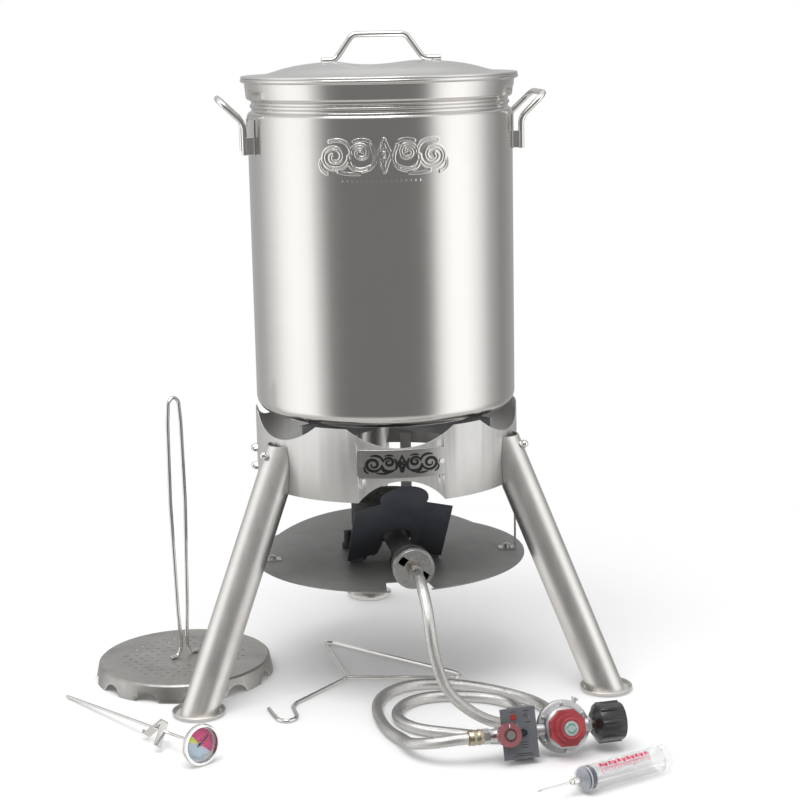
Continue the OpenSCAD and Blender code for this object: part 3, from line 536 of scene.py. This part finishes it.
def hose_uv(me, loops):
    ring, seg = loops // na, loops % na
    out = np.column_stack([ss[ring], seg / na])
    start = np.zeros(len(me.polygons), np.int64)
    me.polygons.foreach_get("loop_start", start)
    total = np.zeros(len(me.polygons), np.int64)
    me.polygons.foreach_get("loop_total", total)
    for s0, t0 in zip(start[total == 4], total[total == 4]):
        sl = out[s0 : s0 + t0, 1]
        if sl.max() - sl.min() > 0.5:
            sl[sl < 0.5] += 1.0
    return out


hose = fix_normals(obj_from("gas_hose_braid", V.reshape(-1, 3), F, M["braid"], "stand", uv=hose_uv, replaces=("gas_hose",)))

# ------------------------------------------------------------------ generic scrollwork
def spiral(cx, cy, r0, r1, a0, turns, sgn, n=46):
    t = np.linspace(0, 1, n)
    a = math.radians(a0) + sgn * t * turns * TWO
    r = r0 + (r1 - r0) * t
    return np.column_stack([cx + r * np.cos(a), cy + r * np.sin(a)])


def bez(a, b, c, d, n=24):
    t = np.linspace(0, 1, n)[:, None]
    a, b, c, d = (np.array(q, float) for q in (a, b, c, d))
    return (1 - t) ** 3 * a + 3 * t * (1 - t) ** 2 * b + 3 * t * t * (1 - t) * c + t**3 * d


def scrollwork():
    """Strokes of a plain mirrored scroll ornament in a box 7 wide and 2 high, each with a width factor."""
    out = []
    for sd in (1, -1):
        for q, w in (
            (spiral(2.65, 0.0, 0.80, 0.16, 180, 1.6, 1), 1.0),
            (bez((1.85, 0.0), (1.85, -0.75), (1.35, -0.95), (0.75, -0.62)), 1.15),
            (spiral(1.22, 0.22, 0.52, 0.12, 0, 1.4, 1), 0.9),
            (bez((1.74, 0.22), (1.78, 0.9), (2.4, 1.05), (2.9, 0.86)), 0.8),
            (bez((0.75, -0.62), (0.3, -0.35), (0.5, 0.25), (0.68, 0.62)), 0.9),
            (bez((3.42, -0.2), (3.55, -0.5), (3.4, -0.85), (3.05, -0.95)), 0.7),
            (bez((1.3, -0.98), (1.7, -1.0), (2.1, -0.98), (2.45, -0.86)), 0.6),
            (bez((0.75, 0.85), (1.0, 1.0), (1.4, 1.0), (1.6, 0.86)), 0.6),
        ):
            q = q.copy()
            q[:, 0] *= sd
            out.append((q, w))
    out.append((np.array([(0, 0.95), (0.14, 0.5), (0.34, 0.1), (0.14, -0.35), (0, -0.85), (-0.14, -0.35), (-0.34, 0.1), (-0.14, 0.5), (0, 0.95)], float), 1.0))
    out.append((spiral(0, 0.08, 0.1, 0.1, 0, 1, 1, 16), 0.9))
    return out


def relief(u, v, strokes, width, height):
    """Height of soft ridges along the strokes at points (u, v), in mm."""
    best = np.zeros(len(u))
    for q, w in strokes:
        q = resample(np.column_stack([q, np.zeros(len(q))]), 0.5)[:, :2]
        for k in range(0, len(u), 4000):
            d = np.sqrt(((u[k : k + 4000, None] - q[None, :, 0]) ** 2 + (v[k : k + 4000, None] - q[None, :, 1]) ** 2).min(1))
            best[k : k + 4000] = np.maximum(best[k : k + 4000], height * np.exp(-(((d - 1.7 * w) / (width * w)) ** 2)) * (0.45 + 0.55 * np.clip(d / (1.7 * w), 0, 1)))
    return best


# ------------------------------------------------------------------ pot
upper = [(178, 776), (176.4, 779), (172, 781.6), (171.8, 784), (174, 786.6), (174.2, 788.8), (171.8, 791.4), (172.4, 794), (177.4, 796.4), (178.6, 798.6)]
outer_p = [(0.02, 377)] + [(20.0 * i, 377) for i in range(1, 8)]
outer_p += [(158 + 20 * math.sin(a), 397 - 20 * math.cos(a)) for a in np.linspace(0, math.pi / 2, 14)]
outer_p += [(178, z) for z in np.arange(405, 690, 12.0)] + [(178, z) for z in np.arange(692, 758, 0.8)] + [(178, 766), (178, 773)]
ups = round_profile([(178, 770)] + upper + [(181, 819)], 1.6, 5, closed=False)[1:]
ups = [q for q in ups if q[1] < 798]
col_rows = [(178.55 + (z - 798) * 0.115, z) for z in np.arange(798.2, 819, 1.3)]
bead = [(183 + 3.0 * math.cos(t), 821.6 + 3.0 * math.sin(t)) for t in np.linspace(math.radians(-125), math.radians(165), 16)]
n_out = len(outer_p) + len(ups) + len(col_rows) + len(bead)
inner_p = [(179.4, 818), (178, 800)] + [(q[0] - 1.4, q[1]) for q in ups[::-1]] + [(176.8, z) for z in (770, 690, 560, 420, 400)]
inner_p += [(158 + 18.8 * math.sin(a), 397 - 18.8 * math.cos(a)) for a in np.linspace(math.pi / 2, 0, 10)] + [(80, 378.2), (0.02, 378.2)]
prof = np.array(outer_p + ups + col_rows + bead + inner_p, float)
az_list = np.unique(np.round(np.r_[np.arange(-180, 180, 2.0), np.arange(-36, 27.5, 0.28), np.arange(-95, -71, 0.6), np.arange(71, 95, 0.6)], 3))
Az, Pr = np.meshgrid(np.radians(az_list), prof[:, 0], indexing="ij")
Zz = np.broadcast_to(prof[:, 1][None], Az.shape).copy()
out_mask = np.broadcast_to((np.arange(len(prof)) < n_out)[None], Az.shape)
uu = (np.degrees(Az) + 4.6) * math.pi / 180 * 178
vv = Zz - 728.5
sel = out_mask & (np.abs(uu) < 92) & (np.abs(vv) < 40) & (Pr > 177)
ridge = [(q * np.array([24.0, 22.0]), w) for q, w in scrollwork()]
disp = np.zeros(Az.shape)
disp[sel] = relief(uu[sel], vv[sel], ridge, 0.95, 1.0)
for i in range(17):
    b = np.hypot(uu + 4 - (i - 8) * 6.1, vv + 30.6)
    disp += np.where(sel, 0.55 * np.exp(-((b / 1.15) ** 2)), 0)


def soft_box(x, half, edge):
    return 1 / (1 + np.exp(np.clip((np.abs(x) - half) / edge, -40, 40)))


for c0 in (-83, 83):
    pocket = soft_box((np.degrees(Az) - c0) * 3.1, 23, 1.1) * soft_box(Zz - 801.5, 5.2, 0.6)
    disp -= np.where(out_mask & (Zz > 792) & (Zz < 812), 3.0 * pocket, 0)
R = Pr + disp
V = np.stack([R * np.sin(Az), -R * np.cos(Az), Zz], -1).reshape(-1, 3) * MM
F = grid_faces(len(az_list), len(prof), close_n=True)
F += [tuple(i * len(prof) for i in range(len(az_list))), tuple((i + 1) * len(prof) - 1 for i in range(len(az_list)))[::-1]]
fix_normals(obj_from("pot_body", V, F, M["pot"], "pot", replaces=("pot_shell",)))

GRIP = [(184, 47, 726), (184, 47, 764), (187, 47, 771), (206, 46, 788), (212, 42, 794), (215, 34, 797), (215, -34, 797), (212, -42, 794), (206, -46, 788), (187, -47, 771), (184, -47, 764), (184, -47, 726)]
SOFT = [(184, 47, 726), (184, 47, 767), (216.4, 45.5, 798), (216.4, -45.5, 798), (184, -47, 767), (184, -47, 726)]
for side, sg in (("right", 1), ("left", -1)):
    rod("pot_grip_" + side, [(sg * x, sg * y, z) for x, y, z in SOFT], 4.0, M["bright"], "pot", rad=[0, 20, 15, 15, 20, 0], step=1.5, n=24, ends=0.8, replaces=("pot_handle_" + side,))
    for e in (-1, 1):
        for z0 in (731.0, 745.0):
            turned("handle_weld_%s_%d_%d" % (side, e + 1, int(z0)), [(0, -0.6), (2.7, -0.6), (2.5, 0.8), (1.4, 1.5), (0, 1.6)], M["bright"], "pot",
                   rot("Z", 0 if sg > 0 else 180) @ tr(179.3, e * 41.0, z0) @ rot("Y", 90), rad=0.4, n=20)

# ------------------------------------------------------------------ lid
dome_r_z = np.array([(0, 844.6), (40, 844.4), (62, 843.9), (84, 842.6), (100, 841.0), (115, 838.8), (130, 835.4), (142, 831.6), (150, 829.6), (158, 828.2), (168, 827.2), (176, 826.9)], float)


def dome(r):
    s0 = np.array(dome_r_z[:, 0])
    z0 = np.array(dome_r_z[:, 1])
    return np.interp(r, s0, np.convolve(np.r_[z0[0], z0, z0[-1]], [0.12, 0.76, 0.12], "valid"))


lid_top_r = np.r_[0.02, np.arange(2, 176, 2.0)]
edge = [(179, 826.9), (182.6, 827.4), (184.4, 827.0), (185.3, 825.9), (185.2, 824.8), (184.2, 824.2), (182.9, 824.6), (179, 825.0), (177.6, 824.6), (177.4, 822), (177.3, 813), (176.1, 812.6), (176, 822), (174.5, 825.2)]
lid_bot_r = np.r_[np.arange(172, 1, -4.0), 0.02]
la = np.radians(np.arange(0, 360, 1.5))
rows_r = np.r_[lid_top_r, [q[0] for q in edge], lid_bot_r]
rows_z = np.r_[dome(lid_top_r), [q[1] for q in edge], dome(lid_bot_r) - 1.3]
A2, R2 = np.meshgrid(la, rows_r, indexing="ij")
Z2 = np.broadcast_to(rows_z[None], A2.shape).copy()
X2 = R2 * np.cos(A2)
trough = 837.6 + X2**2 / (2 * 205.0)
is_top = np.zeros(len(rows_r), bool)
is_top[: len(lid_top_r)] = True
is_bot = np.zeros(len(rows_r), bool)
is_bot[len(lid_top_r) + len(edge) :] = True
ks = 1.1
for msk, off in ((is_top, 0.0), (is_bot, -1.3)):
    zc = Z2[:, msk]
    tc_ = trough[:, msk] + off
    Z2[:, msk] = np.where(R2[:, msk] < 160, -ks * np.log(np.exp(-(zc - 820) / ks) + np.exp(-(tc_ - 820) / ks)) + 820, zc)
V = np.stack([X2, R2 * np.sin(A2), Z2], -1).reshape(-1, 3) * MM
F = grid_faces(len(la), len(rows_r), close_n=True)
F += [tuple(i * len(rows_r) for i in range(len(la))), tuple((i + 1) * len(rows_r) - 1 for i in range(len(la)))[::-1]]
fix_normals(obj_from("lid_body", V, F, M["lid"], "lid", replaces=("lid_shell",)))
rod("lid_grip", [(84, -1, 846.4), (60, -0.5, 846.4), (36.5, 0, 879.0), (-34.5, 0, 879.0), (-58.5, -1, 845.6), (-77, -3, 845.2)], 4.0, M["bright"], "lid", rad=[0, 13, 12, 12, 13, 0], step=1.5, n=24, ends=0.8, replaces=("lid_handle",))
for xx, zz in ((70, 842.4), (-68, 841.6)):
    turned("lid_weld_%d" % int(100 + xx), [(0, -2), (6.5, -2), (5.5, 0.3), (4.2, 1.4), (0, 1.8)], M["bright"], "lid", tr(xx, -1.5, zz), rad=0.6, n=28)

# ------------------------------------------------------------------ rack handle and lifting hook
RG = [(23, 0, 26.7), (12, 0, 27.2), (5.6, 0, 36), (5, 0, 50), (8, 0, 90), (12.5, 0, 250), (11, 0, 360), (8.5, 0, 390), (0, 0, 397.6), (-8.5, 0, 390), (-11, 0, 360), (-12.5, 0, 250), (-8, 0, 90), (-5, 0, 50), (-5.6, 0, 36), (-12, 0, 27.2), (-23, 0, 26.7)]
c36, s36 = math.cos(math.radians(36)), math.sin(math.radians(36))
rod("rack_loop", [(-293 + x * c36, 6 + x * s36, z) for x, y, z in RG], 2.6, M["wire"], "rack", rad=[0, 7, 12, 20, 60, 400, 60, 9, 8, 9, 60, 400, 60, 20, 12, 7, 0], step=1.5, n=18, ends=0.6, replaces=("rack_handle",), up0=(0, 1, 0))
HK = [(-183, -163), (-178, -186), (-172, -206), (-161, -214), (-150, -205), (-147.5, -192), (-151, -162), (-146, -149), (-80, -74), (-71, -60), (-71, -50), (-87, 72), (-88, 90), (-77, 89), (79, -63), (88, -77), (80, -88), (67, -86), (-55, -64.5), (-68.4, -62.2)]
rod("lifting_wire", [(x, y, 2.6) for x, y in HK], 2.5, M["wire"], "hook", rad=[0, 30, 16, 12, 12, 16, 16, 10, 30, 12, 20, 12, 6, 6, 12, 7, 7, 12, 30, 0], step=1.4, n=18, ends=0.5, replaces=("lifting_hook",))

# ------------------------------------------------------------------ name plate with a scroll ornament
def on_cyl(r, az_deg, z):
    a = np.radians(az_deg)
    return np.stack([r * np.sin(a), -r * np.cos(a), z], -1)


def curved_plate(name, r0, r1, outline, mat, body, replaces=(), res=1.5):
    """A sheet wrapped on the stand's axis; outline holds (arc length, z) points of a convex shape."""
    o = np.array(outline, float)
    cz = o[:, 1].mean()
    us = np.arange(o[:, 0].min(), o[:, 0].max() + 0.01, res)
    rows = []
    for u in us:
        hits = []
        for i in range(len(o)):
            a, b = o[i], o[(i + 1) % len(o)]
            if (a[0] - u) * (b[0] - u) <= 0 and abs(a[0] - b[0]) > 1e-9:
                t = (u - a[0]) / (b[0] - a[0])
                hits.append(a[1] + t * (b[1] - a[1]))
        rows.append((u, min(hits), max(hits)))
    Vv, Ff = [], []
    for u, lo, hi in rows:
        az_ = math.degrees(u / r0)
        for r, z in ((r1 - 0.25, lo), (r1, lo + 0.25), (r1, hi - 0.25), (r1 - 0.25, hi), (r0, hi), (r0, lo)):
            Vv.append(on_cyl(r, az_, z))
    n = len(rows)
    Ff = grid_faces(n, 6, close_m=True) + [tuple(range(6)), tuple((n - 1) * 6 + j for j in range(6))[::-1]]
    return fix_normals(obj_from(name, np.array(Vv) * MM, Ff, mat, body, replaces=replaces, smooth=False))


def round_rect(w, h, r, n=6, cx=0.0, cy=0.0):
    pts = []
    for sx_, sy_, a0 in ((1, 1, 0), (-1, 1, 90), (-1, -1, 180), (1, -1, 270)):
        for i in range(n + 1):
            a = math.radians(a0 + 90 * i / n)
            pts.append((cx + sx_ * (w / 2 - r) + r * math.cos(a), cy + sy_ * (h / 2 - r) + r * math.sin(a)))
    return pts


curved_plate("name_plate_sheet", 180.45, 181.3, round_rect(117.4, 37.6, 4, 6, 0, 332.5), M["plate"], "stand", replaces=("nameplate",))


def ribbon(q, w, t0, t1, wrap):
    """A closed flat ribbon along 2-D points q; wrap turns (u, v, height) into model points."""
    q = resample(np.column_stack([q, np.zeros(len(q))]), 0.9)[:, :2]
    T_ = np.gradient(q, axis=0)
    T_ /= np.maximum(np.linalg.norm(T_, axis=1)[:, None], 1e-9)
    N_ = np.column_stack([-T_[:, 1], T_[:, 0]])
    s_ = np.linspace(0, 1, len(q))
    ww = w * (0.25 + 0.75 * np.sin(np.clip(s_, 0.02, 0.98) * math.pi) ** 0.6)[:, None]
    a, b = q + N_ * ww, q - N_ * ww
    ringv = [wrap(a, t0), wrap(a, t1), wrap(b, t1), wrap(b, t0)]
    V_ = np.stack(ringv, 1).reshape(-1, 3)
    n = len(q)
    return V_, grid_faces(n, 4, close_m=True) + [(0, 1, 2, 3), tuple((n - 1) * 4 + j for j in (3, 2, 1, 0))]


def joined(name, parts, mat, body):
    VV, FF, base = [], [], 0
    for v_, f_ in parts:
        VV.append(v_)
        FF += [tuple(i + base for i in f) for f in f_]
        base += len(v_)
    return fix_normals(obj_from(name, np.concatenate(VV) * MM, FF, mat, body, smooth=False))


plate_wrap = lambda q, t: on_cyl(181.3 + t, np.degrees(q[:, 0] / 181.3), 332.3 + q[:, 1])
joined("name_plate_ornament", [ribbon(q * np.array([14.2, 12.6]), 2.2 * w, -0.1, 0.12, plate_wrap) for q, w in scrollwork()], M["ink"], "stand")

# ------------------------------------------------------------------ prints on the chain, the dial and the injector
CH = np.array([[float(c) for c in r_] for r_ in FACE])
ST = np.array([[float(c) for c in r_] for r_ in STEM])
IN = np.array([[float(c) for c in r_] for r_ in INJ])


def put(mat4, P):
    P = np.asarray(P, float)
    return (np.c_[P, np.ones(len(P))] @ mat4.T)[:, :3]


def face_wrap(h):
    return lambda q, t: put(CH, np.column_stack([q[:, 0], q[:, 1], np.full(len(q), h + t)]))


def arc(cx, cy, r, a0, a1, n=24):
    a = np.radians(np.linspace(a0, a1, n))
    return np.column_stack([cx + r * np.cos(a), cy + r * np.sin(a)])


marks = []
for x0, x1, y0 in ((-71, -63, 26.5), (-54.5, -46.5, 26.5), (-72, -62, 12.8), (-54, -44, 12.8), (-60, -50, -11), (-61, -49, -14.2), (-60, -50, -17.4), (-70, -44, -27), (-68, -46, -24.6)):
    marks.append(ribbon(np.array([(x0, y0), (x1, y0)], float), 0.45, -0.05, 0.1, face_wrap(13.5)))
joined("timer_marks", marks, M["ink"], "stand")
marks = [ribbon(arc(-76, 0, 17.2, a, a + 3, 4), 0.8, -0.05, 0.1, face_wrap(13.5)) for a in range(-40, 41, 10) if abs(a) > 25]
joined("timer_ticks", marks, M["white"], "stand")
joined("knob_pointer", [ribbon(np.array([(-76, 9.2), (-76, 13.6)], float), 0.6, -0.1, 0.15, face_wrap(26.0))], M["white"], "gas_valve")
turned("pressure_knob_face", [(0, 0), (9.2, 0), (9.2, 0.9), (8.4, 1.25), (0, 1.5)], M["cap"], "regulator_knob", FACE @ tr(0, 0, 32.35), rad=0.4, n=56, replaces=("pressure_knob_cap",))
joined("cap_arrow", [ribbon(arc(0, 0, 5.2, 20, 160), 0.8, -0.1, 0.25, face_wrap(33.75)), ribbon(arc(0, 0, 5.2, 200, 340), 0.8, -0.1, 0.25, face_wrap(33.75)),
                     ribbon(np.array([(-7.0, 0.6), (-4.9, 2.6)], float), 0.5, -0.1, 0.25, face_wrap(33.75)), ribbon(np.array([(7.0, -0.6), (4.9, -2.6)], float), 0.5, -0.1, 0.25, face_wrap(33.75))], M["green"], "regulator_knob")
turned("pressure_knob_rim", [(11.2, -0.8), (12.4, -0.8), (13.1, 0.2), (12.5, 0.9), (11.5, 0.9), (10.9, 0.2)], M["red"], "regulator_knob", FACE @ tr(0, 0, 33.6), rad=0.5, n=64)
for i in range(6):
    turned("bonnet_screw_%d" % i, [(0, -1.0), (2.5, -1.0), (2.5, 0.9), (1.9, 1.5), (0, 1.6)], M["zinc"], "stand", FACE @ rot("Z", 30 + 60 * i) @ tr(29.2, 0, 4.3), rad=0.3, n=18)

# thermometer's dial card: sectors, rings and ticks; the card faces local -x
def card_wrap(q, t):
    return put(ST, np.column_stack([-0.02 - t + np.zeros(len(q)), -q[:, 0], q[:, 1]]))


def sector(r0, r1, a0, a1, h0, h1):
    n = max(3, int(abs(a1 - a0) / 4))
    a = np.radians(np.linspace(a0, a1, n))
    ring_ = []
    for r, h in ((r0, h0), (r1, h0), (r1, h1), (r0, h1)):
        ring_.append(card_wrap(np.column_stack([r * np.cos(a), r * np.sin(a)]), h))
    V_ = np.stack(ring_, 1).reshape(-1, 3)
    return V_, grid_faces(n, 4, close_m=True) + [(0, 1, 2, 3), tuple((n - 1) * 4 + j for j in (3, 2, 1, 0))]


joined("dial_hot", [sector(2.6, 20.5, -42, 128, -0.1, 0.1)], M["magenta"], "thermometer")
joined("dial_warm", [sector(2.6, 20.5, 128, 146, -0.1, 0.1)], M["lime"], "thermometer")
joined("dial_mid", [sector(2.6, 20.5, 146, 156, -0.1, 0.1)], M["yellow"], "thermometer")
joined("dial_cool", [sector(2.6, 20.5, 156, 318, -0.1, 0.1)], M["blue"], "thermometer")
joined("dial_edge", [sector(20.5, 22.1, 0, 180, -0.1, 0.14), sector(20.5, 22.1, 180, 360, -0.1, 0.14)], M["white"], "thermometer")
joined("dial_ticks", [sector(15.6 if a % 40 else 14.2, 19.4, a - 0.9, a + 0.9, 0.05, 0.16) for a in range(-40, 320, 10)], M["ink"], "thermometer")

# the stem's spring clip: one strip folded at the top, both legs pierced by the stem, the longer one curled at its end
def strip(name, pts, wide, thick, mat4, mat, body, replaces=()):
    P = np.array(pts, float)
    T_ = np.gradient(P, axis=0)
    T_ /= np.linalg.norm(T_, axis=1)[:, None]
    w_ = np.array(wide, float)
    N_ = np.cross(T_, w_ / np.linalg.norm(w_))
    N_ /= np.linalg.norm(N_, axis=1)[:, None]
    ring_ = [P - w_ / 2, P + w_ / 2, P + w_ / 2 + N_ * thick, P - w_ / 2 + N_ * thick]
    V_ = put(mat4, np.stack(ring_, 1).reshape(-1, 3))
    n = len(P)
    return fix_normals(obj_from(name, V_ * MM, grid_faces(n, 4, close_m=True) + [(0, 1, 2, 3), tuple((n - 1) * 4 + j for j in (3, 2, 1, 0))], mat, body, replaces=replaces, smooth=False))


CW = np.array([-2.0, -8.0, -7.0])
CA = np.array([84.0, -6.0, 12.0])
CL, CR = np.array([27.0, 12.0, -21.5]), np.array([-15.8, 25.2, -24.3])
CL -= CW * np.dot(CL, CW) / np.dot(CW, CW)
CR -= CW * np.dot(CR, CW) / np.dot(CW, CW)
cu = CL / np.linalg.norm(CL)
cn = cu * np.dot(CR, cu) - CR
cn /= np.linalg.norm(cn)
curl = [CA + CL + 4.2 * (cn * (1 - math.cos(t)) + cu * math.sin(t)) for t in np.linspace(math.radians(150), math.radians(5), 14)]
strip("stem_clip", [tuple(q) for q in curl] + [tuple(q) for q in resample(fillet([CA + CL, CA, CA + CR], 2.2, 8), 1.2)[1:]], CW, 0.8, ST, M["bright"], "clip", replaces=("thermometer_clip",))

# injector: red ticks and a row of slanted marks printed on the barrel
def barrel_wrap(q, t):
    r = 15.4 + t
    a = q[:, 1] / 15.4
    return put(IN, np.column_stack([q[:, 0], -r * np.sin(a), r * np.cos(a)]))


marks = []
for i in range(11):
    x = 86 + i * 6.6
    marks.append(ribbon(np.array([(x, 3.0), (x + 2.2, 8.8), (x + 4.6, 3.2)] if i % 2 else [(x, 8.8), (x + 2.2, 3.0), (x + 4.6, 8.6)], float), 1.25, -0.08, 0.14, barrel_wrap))
for i in range(16):
    x = 86 + i * 4.6
    marks.append(ribbon(np.array([(x, 12.0), (x, 15.0 if i % 5 else 17.0)], float), 0.5, -0.08, 0.12, barrel_wrap))
marks.append(ribbon(np.array([(84, 11.0), (158, 11.0)], float), 0.45, -0.08, 0.12, barrel_wrap))
joined("barrel_marks", marks, M["redink"], "injector")

turned("seal_front", [(0, 66.4), (13.6, 66.4), (13.9, 66.9), (13.9, 67.3), (0, 67.3)], M["disc"], "plunger", INJ @ rot("Y", 90), rad=0.2, n=48)
turned("seal_ring", [(13.2, 70.2), (14.0, 70.4), (14.05, 71.3), (13.2, 71.6)], M["white"], "plunger", INJ @ rot("Y", 90), rad=0.2, n=48)

# ------------------------------------------------------------------ CAD nodes that stay
def dress(node, mat, bevel=0.0, seg=2, angle=35):
    o = NODES[node]
    if len(o.data.materials) == 0:
        o.data.materials.append(mat)
    for i in range(len(o.data.materials)):
        o.data.materials[i] = mat
    if bevel:
        w = o.modifiers.new("weld", "WELD")
        w.merge_threshold = 2e-6
        b = o.modifiers.new("bevel", "BEVEL")
        b.width, b.segments, b.limit_method, b.angle_limit = bevel * MM, seg, "ANGLE", math.radians(angle)
        b.harden_normals = True
    return o


KEEP = {
    "windscreen_band": "band", "seam_bolts": "bright", "support_bar_long": "bars", "support_bar_cross": "bars",
    "leg_left": "leg", "leg_right": "leg", "leg_rear": "leg", "leg_bolts": "bright", "feet": "leg",
    "heat_pan": "pan", "pan_hangers": "band", "pan_bolts": "zinc", "heat_shield": "shield", "burner_casting": "iron",
    "burner_cap": "iron", "air_shutter": "zinc", "orifice_fitting": "brass", "inlet_ferrule": "bright",
    "outlet_ferrule": "brass", "valve_body": "zinc", "valve_stem": "bright", "valve_knob": "maroon",
    "timer_housing": "grey", "timer_plate": "grey", "timer_button": "black", "red_lens": "redlens", "clear_lens": "clear",
    "regulator_body": "cast", "regulator_bonnet": "cast", "regulator_diaphragm": "rubber", "regulator_spring": "bright",
    "regulator_vent": "zinc", "pressure_knob": "red", "pressure_knob_cap": "cast", "inlet_nipple": "brass",
    "coupling_nut": "black", "pot_shell": "pot", "handle_brackets": "bright", "pot_handle_left": "bright",
    "pot_handle_right": "bright", "lid_shell": "lid", "lid_handle": "bright", "rack_plate": "rack", "rack_handle": "wire",
    "lifting_hook": "wire", "thermometer_stem": "bright", "thermometer_case": "bright", "thermometer_dial": "zinc",
    "thermometer_pointer": "black", "thermometer_lens": "glass", "thermometer_clip": "bright",
    "injector_barrel": "clear", "needle_hub": "bright", "needle": "bright", "injector_plunger": "clear",
    "plunger_seal": "seal", "nameplate": "plate", "nameplate_rivets": "bright",
}
BEVEL = {"timer_housing": 0.5, "timer_plate": 0.35, "heat_shield": 0.25, "windscreen_band": 0.25, "pressure_knob": 0.8, "coupling_nut": 0.8, "valve_knob": 0.4,
         "support_bar_long": 0.3, "support_bar_cross": 0.3, "handle_brackets": 0.3, "rack_plate": 0.3, "injector_barrel": 0.3, "injector_plunger": 0.3,
         "regulator_bonnet": 0.4, "regulator_body": 0.4, "outlet_ferrule": 0.3, "inlet_ferrule": 0.3, "valve_body": 0.4, "air_shutter": 0.2, "burner_casting": 0.6, "burner_cap": 0.5}
for node, key in KEEP.items():
    dress(node, M[key], BEVEL.get(node, 0.0))

# ------------------------------------------------------------------ floor and light
k = Mat("floor_pale")
tone = k.noise(k.coords((1, 1, 1)), 2.0, 3.0, 0.5)
k.link(k.mix(tone, (0.90, 0.90, 0.90), (0.94, 0.94, 0.94)), k.p.inputs["Base Color"])
k.p.inputs["Roughness"].default_value = 0.75
k.p.inputs["Specular IOR Level"].default_value = 0.1
tc = k.add("ShaderNodeTexCoord")
ln = k.add("ShaderNodeVectorMath", operation="LENGTH")
k.link(tc.outputs["Object"], ln.inputs[0])
fade = k.maprange(ln.outputs["Value"], 1.0, 0.0, 0.55, 1.1)
k.link(fade, k.p.inputs["Alpha"])
fl_v, fl_f = lathe_mesh([(0.0001, 0)] + [(0.15 * i, 0) for i in range(1, 16)], 64, closed=False)
me = bpy.data.meshes.new("floor")
me.from_pydata([tuple(map(float, v)) for v in fl_v], [], [tuple(f) for f in fl_f])
floor = bpy.data.objects.new("floor", me)
me.materials.append(k.m)
sc.collection.objects.link(floor)
floor.location = (0, -0.1, -0.0004)
floor.visible_glossy = False

w = bpy.data.worlds.new("studio")
sc.world = w
w.use_nodes = True
wt = w.node_tree
wt.nodes.clear()


def wn(kind, **kw):
    n = wt.nodes.new(kind)
    for a, b in kw.items():
        setattr(n, a, b)
    return n


def wmath(op, a, b=None):
    n = wn("ShaderNodeMath", operation=op)
    for i, v in ((0, a), (1, b)):
        if v is None:
            continue
        if isinstance(v, (int, float)):
            n.inputs[i].default_value = v
        else:
            wt.links.new(v, n.inputs[i])
    return n.outputs[0]


tcw = wn("ShaderNodeTexCoord")
sx = wn("ShaderNodeSeparateXYZ")
wt.links.new(tcw.outputs["Generated"], sx.inputs[0])
az = wmath("ARCTAN2", sx.outputs[0], wmath("MULTIPLY", sx.outputs[1], -1.0))
azn = wmath("ADD", wmath("MULTIPLY", az, 1 / TWO), 0.5)
ramp = wn("ShaderNodeValToRGB")
wt.links.new(azn, ramp.inputs[0])


def deg(a):
    return 0.5 + a / 360.0


# brightness round the horizon, by bearing from -Y towards +X
STOPS = [(-180, 0.55), (-152, 0.50), (-136, 0.56), (-118, 0.95), (-102, 1.42), (-88, 1.58), (-73, 1.50), (-63, 0.85), (-52, 0.30), (-40, 0.235), (26, 0.235),
         (34, 0.36), (46, 1.34), (56, 1.62), (72, 1.60), (86, 1.20), (100, 0.60), (118, 0.33), (148, 0.45), (180, 0.55)]
el = ramp.color_ramp.elements
while len(el) > 1:
    el.remove(el[-1])
el[0].position, el[0].color = deg(STOPS[0][0]), (STOPS[0][1],) * 3 + (1,)
for a, b in STOPS[1:]:
    x = el.new(min(1.0, deg(a)))
    x.color = (b, b * 0.992, b * 0.975, 1) if b < 0.5 else (b, b, b, 1)
up_mask = wn("ShaderNodeMapRange")
up_mask.interpolation_type = "SMOOTHSTEP"
up_mask.inputs["From Min"].default_value, up_mask.inputs["From Max"].default_value = 0.25, 0.75
wt.links.new(sx.outputs[2], up_mask.inputs["Value"])
dn_mask = wn("ShaderNodeMapRange")
dn_mask.interpolation_type = "SMOOTHSTEP"
dn_mask.inputs["From Min"].default_value, dn_mask.inputs["From Max"].default_value = -0.42, -0.60
wt.links.new(sx.outputs[2], dn_mask.inputs["Value"])
mx1 = wn("ShaderNodeMix", data_type="RGBA")
wt.links.new(up_mask.outputs[0], mx1.inputs[0])
wt.links.new(ramp.outputs[0], mx1.inputs[6])
mx1.inputs[7].default_value = (0.95, 0.95, 0.96, 1)
mx2 = wn("ShaderNodeMix", data_type="RGBA")
wt.links.new(dn_mask.outputs[0], mx2.inputs[0])
wt.links.new(mx1.outputs[2], mx2.inputs[6])
mx2.inputs[7].default_value = (0.80, 0.795, 0.78, 1)
lp = wn("ShaderNodeLightPath")
mx3 = wn("ShaderNodeMix", data_type="RGBA")
wt.links.new(lp.outputs["Is Camera Ray"], mx3.inputs[0])
wt.links.new(mx2.outputs[2], mx3.inputs[6])
mx3.inputs[7].default_value = (1, 1, 1, 1)
bg = wn("ShaderNodeBackground")
wt.links.new(mx3.outputs[2], bg.inputs[0])
wo = wn("ShaderNodeOutputWorld")
wt.links.new(bg.outputs[0], wo.inputs[0])


def area(name, loc, target, size, power, col=(1, 1, 1)):
    d = bpy.data.lights.new(name, "AREA")
    d.shape, d.size, d.size_y, d.energy, d.color = "RECTANGLE", size[0], size[1], power, col
    o = bpy.data.objects.new(name, d)
    sc.collection.objects.link(o)
    o.location = loc
    o.rotation_mode = "QUATERNION"
    o.rotation_quaternion = (Vector(loc) - Vector(target)).to_track_quat("Z", "Y")
    return o


area("key_top", (-0.6, -1.2, 3.2), (0, 0, 0.3), (2.4, 2.0), 55)
